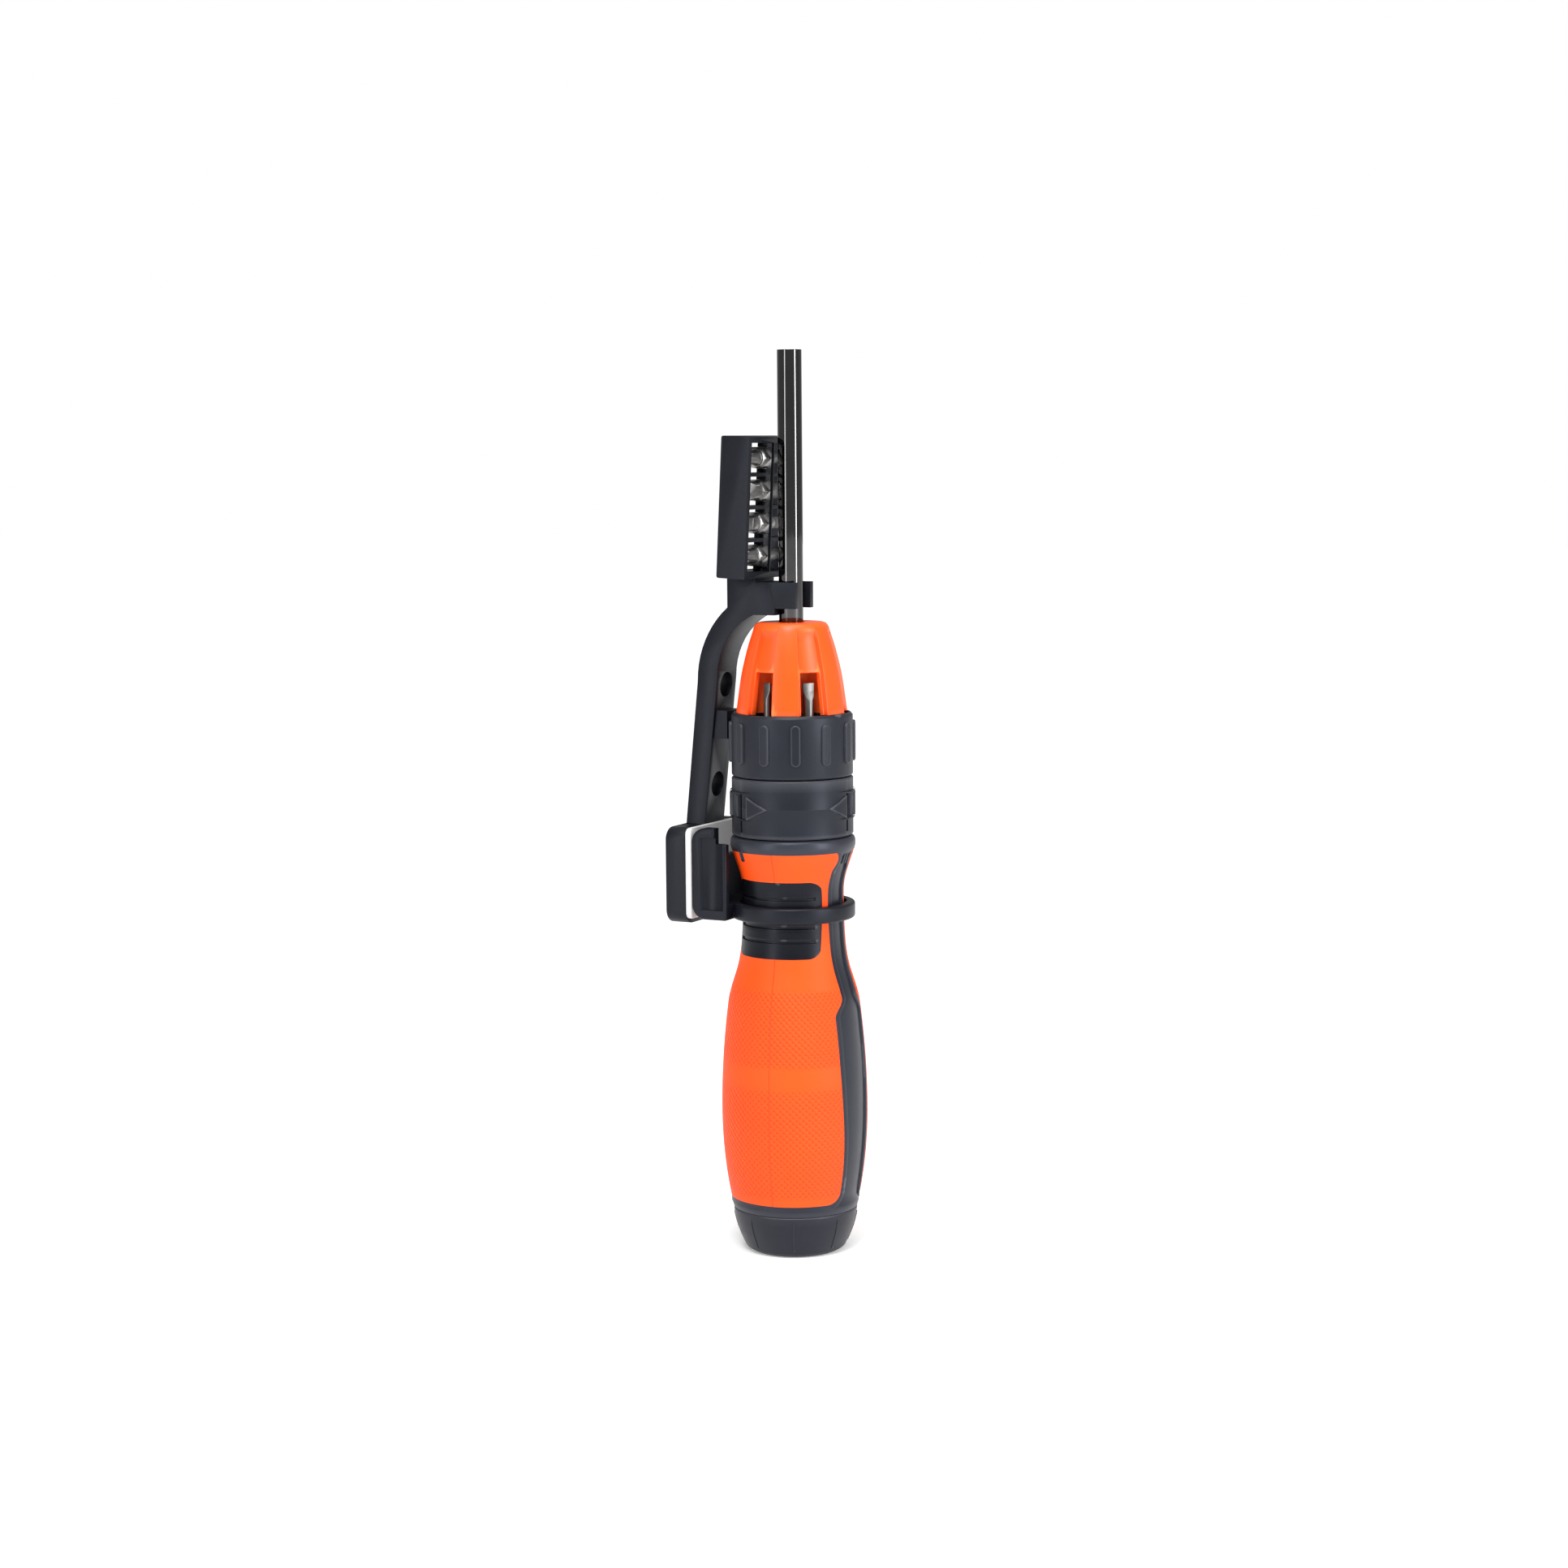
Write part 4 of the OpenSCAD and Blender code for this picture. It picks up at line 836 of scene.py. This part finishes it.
# %% Collar
COLLAR_R, COLLAR_BORE = 18.5, 12.0
COLLAR_LOW, COLLAR_HIGH = 146.8, 166.0
STEP_Z, STEP_DEEP = 152.6, 0.03
RIBS, RIB_W = 12, 3.0
RIB_IN, RIB_OUT = 17.9, 19.25
RIB_LOW, RIB_HIGH = 150.9, 163.4
RIB_CORNER, RIB_RIM = 1.45, 0.45
collar_line = ((COLLAR_BORE, COLLAR_LOW), (18.0, COLLAR_LOW), (COLLAR_R - STEP_DEEP, COLLAR_LOW + 0.5),
               (COLLAR_R - STEP_DEEP, STEP_Z - 0.2), (COLLAR_R, STEP_Z), (COLLAR_R, COLLAR_HIGH - 0.9),
               (17.8, COLLAR_HIGH), (17.3, COLLAR_HIGH), (17.0, COLLAR_HIGH - 1.0),
               (COLLAR_BORE, COLLAR_HIGH - 1.0))
collar = lathe(collar_line, closed=True)
soften(collar, width=0.18, angle=25.0)
for k in range(RIBS):
    rib = raised_bar(RIB_IN, RIB_OUT, RIB_W, RIB_LOW, RIB_HIGH, RIB_CORNER, RIB_RIM)
    join(collar, rib, 360 / RIBS * k)
finish_piece(collar, "bit_collar_ribbed", collar_plastic, "bit_collar")

# %% [markdown]
# ## Nose cone
# The nose has six raised panels with a channel between each pair, and at the foot of each channel a
# window shows a bit. One sixth is a grid whose rows follow the nose's outline and whose columns lie on
# the edges of channel and window. The window's faces are taken out, and the sixth is spun into the
# whole. Cutting the windows out of a finished cone would leave rough edges.

# %% Shell of the nose
NOSE_LOW, NOSE_HIGH = 166.0, 193.3
NOSE_TURN = -39.6
NOSE_WALL = 1.6
SIXTHS = 6
WINDOW_TOP, WINDOW_HALF, WINDOW_CORNER = 178.8, 13.4, 0.7
CHANNEL_DEEP, CHANNEL_HALF, CHANNEL_WALL = 1.3, 15.8, 0.6
CHANNEL_END, CHANNEL_FADE = 191.6, 3.0
THROUGH_WALL, TOP_REACH, CORNER_BEND = 1.0, 0.9, 60.0
SIXTH_WELD = 0.02
half_columns = [0.0, 4.5, 9.0, 12.6, WINDOW_HALF, 14.4, CHANNEL_HALF - CHANNEL_WALL, CHANNEL_HALF,
                16.8, 19.0, 22.0, 26.0, 30.0]
nose_columns = [-a for a in reversed(half_columns[1:])] + half_columns
nose_rows = [(17.1, NOSE_LOW), (16.85, 168.0), (16.5, 170.5), (16.1, 173.5), (15.65, 176.3),
             (15.3, 178.2), (15.17, WINDOW_TOP), (14.9, 180.0), (14.3, 182.5), (13.65, 185.0),
             (13.0, 187.2), (12.4, 189.0), (11.9, 190.5), (11.55, 191.4), (11.1, 192.3), (10.5, 193.0),
             (9.7, NOSE_HIGH), (8.0, NOSE_HIGH), (4.3, NOSE_HIGH)]


def channel_depth(z, turn):
    fade = min(1.0, max(0.0, (CHANNEL_END - z) / CHANNEL_FADE))
    wall = min(1.0, max(0.0, (CHANNEL_HALF - abs(turn)) / CHANNEL_WALL))
    return CHANNEL_DEEP * fade * fade * (3 - 2 * fade) * wall


def in_window(place):
    return place.z < WINDOW_TOP and abs(degrees(atan2(place.y, place.x))) < WINDOW_HALF


def on_window_corner(edge):
    depth = abs(edge.verts[0].co.to_2d().length - edge.verts[1].co.to_2d().length)
    at_top = all(abs(v.co.z - WINDOW_TOP) < TOP_REACH for v in edge.verts)
    return at_top and depth > THROUGH_WALL and edge.calc_face_angle(0.0) > radians(CORNER_BEND)


nose = bmesh.new()
bmesh.ops.create_grid(nose, x_segments=len(nose_columns) - 1, y_segments=len(nose_rows) - 1, size=0.5)
for v in nose.verts:
    turn = nose_columns[round((v.co.x + 0.5) * (len(nose_columns) - 1))]
    r, z = nose_rows[round((v.co.y + 0.5) * (len(nose_rows) - 1))]
    r -= channel_depth(z, turn)
    v.co = (r * cos(radians(turn)), r * sin(radians(turn)), z)
window = [f for f in nose.faces if in_window(f.calc_center_median())]
bmesh.ops.delete(nose, geom=window, context="FACES")
bmesh.ops.transform(nose, matrix=turned(NOSE_TURN), verts=nose.verts)
bmesh.ops.spin(nose, geom=nose.verts[:] + nose.edges[:] + nose.faces[:], cent=(0, 0, 0), axis=(0, 0, 1),
               angle=2 * pi, steps=SIXTHS, use_duplicate=True)
bmesh.ops.remove_doubles(nose, verts=nose.verts, dist=SIXTH_WELD)
face_outwards(nose)
bmesh.ops.solidify(nose, geom=nose.faces[:], thickness=NOSE_WALL)
bmesh.ops.recalc_face_normals(nose, faces=nose.faces)
window_corners = [e for e in nose.edges if on_window_corner(e)]
round_edges(nose, window_corners, WINDOW_CORNER, segments=4)
soften(nose, width=0.16, angle=48.0)
print("nose shell", len(nose.faces), "faces, window corners", len(window_corners))

# %% [markdown]
# ## Inside of the nose
# Behind the windows a hub and six webs part the bits, so that each window looks into a pocket of its
# own. Without them one could look through two windows and out at the back. The hub is spun, and a web
# is a cube whose corners are drawn in to stay inside the shell.

# %% Hub and webs
HUB_IN, HUB_OUT = 4.3, 7.2
HUB_LOW, HUB_HIGH = 166.2, 191.5
WEB_HIGH = 190.0
WEB_IN, WEB_FOOT_R, WEB_TOP_R = 6.8, 16.2, 11.1
WEB_THICK = 1.4


def web():
    bm = bmesh.new()
    bmesh.ops.create_cube(bm, size=1.0)
    for v in bm.verts:
        at_foot = v.co.z < 0
        reach = WEB_FOOT_R if at_foot else WEB_TOP_R
        v.co = (reach if v.co.x > 0 else WEB_IN, v.co.y * WEB_THICK, HUB_LOW if at_foot else WEB_HIGH)
    return bm


hub_line = ((HUB_IN, HUB_LOW), (HUB_OUT, HUB_LOW), (HUB_OUT, HUB_HIGH), (HUB_IN, HUB_HIGH))
join(nose, lathe(hub_line, closed=True, steps=72))
for k in range(SIXTHS):
    join(nose, web(), NOSE_TURN + 360 / SIXTHS * (k + 0.5))
finish_piece(nose, "nose_cone_shell", orange_plastic, "nose_cone")

# %% [markdown]
# ## Pieces that keep their solid form
# The shaft, the bits and the rack's mouldings are already right as solids. They only lack the small
# rounding that catches light on every real edge. A copy of the solid is merged, its flat triangles are
# joined into whole faces, and its sharp edges are bevelled. Some edges of a moulding are rounder than
# the rest, so a test on the place of an edge can ask for a wider bevel there.

# %% Copies of solids with rounded edges
FLAT = 1.0
ROUNDED_FROM = 40.0


def solid_copy(node):
    bm = bmesh.new()
    bm.from_mesh(frame["nodes"][node].data)
    bmesh.ops.scale(bm, vec=(1 / MM, 1 / MM, 1 / MM), verts=bm.verts)
    bmesh.ops.remove_doubles(bm, verts=bm.verts, dist=2 * WELD)
    return bm


def round_solid(bm, width, wide=0.0, is_wide=None):
    bmesh.ops.dissolve_limit(bm, angle_limit=radians(FLAT), use_dissolve_boundaries=False, verts=bm.verts,
                             edges=bm.edges)
    if is_wide:
        edges = [e for e in sharp_edges(bm, ROUNDED_FROM) if all(is_wide(v.co) for v in e.verts)]
        round_edges(bm, edges, wide, segments=4)
        print("wide edges", len(edges))
    soften(bm, width, ROUNDED_FROM)
    return bm


print("edges past", ROUNDED_FROM, "degrees are rounded")

# %% [markdown]
# ## Shaft and bits
# The plated shaft and the bits are hard steel, so their edges are rounded by no more than a hair. A
# hexagonal bit fits its pocket in six ways. The two flat tips that show in the windows are turned so
# that their broad face is seen, as in the photograph, and the tips stand a little higher than on the
# solids.

# %% Shaft, stored bits and rack bits
SHAFT_ROUND, BIT_ROUND = 0.15, 0.08
BIT_CIRCLE = 12.2
TIP_LIFT = 1.3
BIT_TURNS = {1: -60, 6: -120}
STORED_BITS, RACK_BITS = 6, 4

shaft = round_solid(solid_copy("drive_shaft"), SHAFT_ROUND)
finish_piece(shaft, "drive_shaft_plated", dark_chrome, "drive_shaft")
for i in range(1, STORED_BITS + 1):
    node = "stored_bit_%d" % i
    around = radians(NOSE_TURN + 360 / STORED_BITS * (i - 1))
    axis = (BIT_CIRCLE * cos(around), BIT_CIRCLE * sin(around), 0.0)
    bit = solid_copy(node)
    bmesh.ops.rotate(bit, cent=axis, matrix=turned(BIT_TURNS.get(i, 0)), verts=bit.verts)
    bmesh.ops.translate(bit, vec=(0, 0, TIP_LIFT), verts=[v for v in bit.verts if v.co.z > NOSE_LOW])
    # stored bits use the darker copy of bit steel, which is painted shade
    finish_piece(round_solid(bit, BIT_ROUND), node + "_blasted", bit_steel_painted_shade, node)
for i in range(1, RACK_BITS + 1):
    node = "rack_bit_%d" % i
    finish_piece(round_solid(solid_copy(node), BIT_ROUND), node + "_blasted", bit_steel, node)

# %% [markdown]
# ## Mouldings of the rack
# The rack hangs on the driver by a clip round the neck and a fork round the shaft. Its mouldings have
# generous radii on the faces that a hand meets: the back plate, the clip's ring and ears, and the back
# of the bit frame. Each of them is found by its place, and the frame's own lean is taken out first.

# %% Arm, clip, spacer and bit frame
PLATE_BACK = -34.4
RING_OUT, RING_TOP = 18.9, 108.3
EAR_OUT = 18.0
RACK_SEAT = Vector((-17.3, 0.0, 207.1))
RACK_LEAN = 3.0
RACK_HALF_W, RACK_H = 16.4, 42.5
REACH = 0.05
unlean = Matrix.Rotation(radians(-RACK_LEAN), 3, "Y")


def on_plate_back(p):
    return p.x < PLATE_BACK + REACH


def on_clip_rim(p):
    on_ring = abs(p.to_2d().length - RING_OUT) < 2 * REACH and p.z < RING_TOP
    return on_ring or abs(abs(p.y) - EAR_OUT) < REACH


def on_rack_back(p):
    q = unlean @ (p - RACK_SEAT)
    outside = abs(q.y) > RACK_HALF_W - REACH or q.z < REACH or q.z > RACK_H - REACH
    return outside and q.x < REACH


arm = round_solid(solid_copy("rack_arm"), width=0.4, wide=0.9, is_wide=on_plate_back)
finish_piece(arm, "rack_arm_moulded", rack_plastic, "rack_arm")
clip = round_solid(solid_copy("neck_clip"), width=0.3, wide=0.8, is_wide=on_clip_rim)
finish_piece(clip, "neck_clip_moulded", rack_plastic, "neck_clip")
spacer = round_solid(solid_copy("pale_spacer"), width=0.2)
finish_piece(spacer, "pale_spacer_cut", pale_plastic, "pale_spacer")
rack = round_solid(solid_copy("bit_rack"), width=0.12, wide=1.2, is_wide=on_rack_back)
finish_piece(rack, "bit_rack_moulded", rack_plastic, "bit_rack")

# %% [markdown]
# ## Hidden ratchet
# The ratchet, its springs and the clips are closed in. Their solids stay as they are and get a real
# finish, so that the driver can be taken apart on screen.

# %% Finishes of the hidden nodes
HIDDEN = {steel: ("ratchet_housing", "ratchet_cover", "pawl_pins", "pawl_springs", "selector_cam",
                  "pawl_left", "pawl_right", "ratchet_gear", "thrust_washer", "tail_clip",
                  "magazine_clip"),
          bronze: ("shaft_bush",),
          black_plastic: ("bit_carousel",)}
for material, nodes in HIDDEN.items():
    for node in nodes:
        mesh = frame["nodes"][node].data
        mesh.materials.clear()
        mesh.materials.append(material)
print("kept solids:", sum(len(n) for n in HIDDEN.values()))

# %% [markdown]
# ## Floor and sky
# The driver stands on a white table before a white wall. A large pale floor that glows a little runs
# into an even white sky without a horizon. A sky as bright as it looks would wash out the dark plastic,
# so it lights the driver only weakly. What mirrors it gets a middle value, which gives the plated shaft
# its grey.

# %% Floor and sky
FLOOR_HALF = 6.0
FLOOR_GLOW, FLOOR_GLOSS = 0.3, 0.6
PAPER_DEEP, PAPER_LIGHT = (0.9, 0.9, 0.9), (0.93, 0.93, 0.93)
PAPER_SCALE = 3.0
SKY_SEEN, SKY_LIGHT, SKY_MIRRORED = 1.0, 0.14, 0.44
scene = bpy.context.scene

floor_bm = bmesh.new()
bmesh.ops.create_grid(floor_bm, x_segments=1, y_segments=1, size=FLOOR_HALF)
floor_mesh = bpy.data.meshes.new("floor")
floor_bm.to_mesh(floor_mesh)
floor_bm.free()
floor = bpy.data.objects.new("floor", floor_mesh)
scene.collection.objects.link(floor)
paper = Finish("paper_floor")
paper_tone = paper.blend(paper.noise(PAPER_SCALE, 2.0), solid(PAPER_DEEP), solid(PAPER_LIGHT))
floor_mesh.materials.append(paper.wear(Base_Color=paper_tone, Roughness=FLOOR_GLOSS, Emission_Color=WHITE,
                                       Emission_Strength=FLOOR_GLOW))

world = bpy.data.worlds.new("white_sky")
world.use_nodes = True
air = Network(world.node_tree)
sky = world.node_tree.nodes["Background"]
sky.inputs["Color"].default_value = WHITE
seen = air.add("ShaderNodeLightPath", output="Is Camera Ray")
mirrored = air.add("ShaderNodeLightPath", output="Is Glossy Ray")
glow = SKY_LIGHT + (SKY_SEEN - SKY_LIGHT) * seen + (SKY_MIRRORED - SKY_LIGHT) * mirrored
plug(air.tree, sky.inputs["Strength"], glow)
scene.world = world
scene.view_settings.view_transform = "Standard"
print("sky seen", SKY_SEEN, "lighting", SKY_LIGHT, "mirrored", SKY_MIRRORED)

# %% [markdown]
# ## Lights
# Two tall softboxes give the shaft its bright stripes and the dark plastic its edges. A small one above
# the camera puts a sheen on ring and collar, and a wide overhead panel gives the even light of a studio
# tent. A sun with a large angle stands for that panel, because its light doesn't fall off with
# distance.

# %% Softboxes and overhead panel
MIDDLE, ABOVE_MIDDLE = (0.0, 0.0, 0.14), (0.0, 0.0, 0.15)
PANEL_LEAN = (12.0, 8.0)


def add_light(name, lamp):
    light = bpy.data.objects.new(name, lamp)
    scene.collection.objects.link(light)
    return light


def softbox(name, place, target, width, height, watts):
    lamp = bpy.data.lights.new(name, "AREA")
    lamp.shape = "RECTANGLE"
    lamp.size = width
    lamp.size_y = height
    lamp.energy = watts
    light = add_light(name, lamp)
    light.location = place
    light.rotation_euler = (Vector(target) - Vector(place)).to_track_quat("-Z", "Y").to_euler()


softbox("left_softbox", (-0.35, -1.0, 0.45), MIDDLE, width=0.16, height=1.0, watts=4.5)
softbox("right_softbox", (1.15, -0.15, 0.45), MIDDLE, width=0.20, height=1.0, watts=12.0)
softbox("top_softbox", (0.15, -0.6, 0.95), ABOVE_MIDDLE, width=0.25, height=0.25, watts=5.0)
overhead = bpy.data.lights.new("overhead_panel", "SUN")
overhead.energy = 2.3
overhead.angle = radians(42.0)
panel = add_light("overhead_panel", overhead)
panel.rotation_euler = (radians(PANEL_LEAN[0]), radians(PANEL_LEAN[1]), 0.0)
print("lights:", [lamp.name for lamp in bpy.data.lights])

# %% [markdown]
# ## Camera
# The photograph was taken from 27 degrees round the front and a little above. The place and lens were
# fitted to the rings' ellipses, so the camera only has to be turned to them: it looks down by its
# pitch, leans by its roll and aims a little left of the driver.

# %% Camera
AZIMUTH, PITCH, ROLL = 27.0, 6.27, -0.46
AIM_LEFT = 0.16
CAMERA_PLACE = (0.4277, -0.8393, 0.2474)
lens = bpy.data.cameras.new("photo_camera")
lens.sensor_width = 36.0
lens.lens = 71.44
lens.clip_start = 0.05
lens.clip_end = 30.0
camera = bpy.data.objects.new("photo_camera", lens)
camera.matrix_world = (Matrix.Translation(CAMERA_PLACE) @ turned(AZIMUTH + AIM_LEFT)
                       @ Matrix.Rotation(radians(90.0 - PITCH), 4, "X") @ turned(ROLL))
scene.collection.objects.link(camera)
scene.camera = camera
print("camera at", CAMERA_PLACE)

# %% [markdown]
# ## Sizes and end
# The dressed driver has to stay inside the box of its solids.
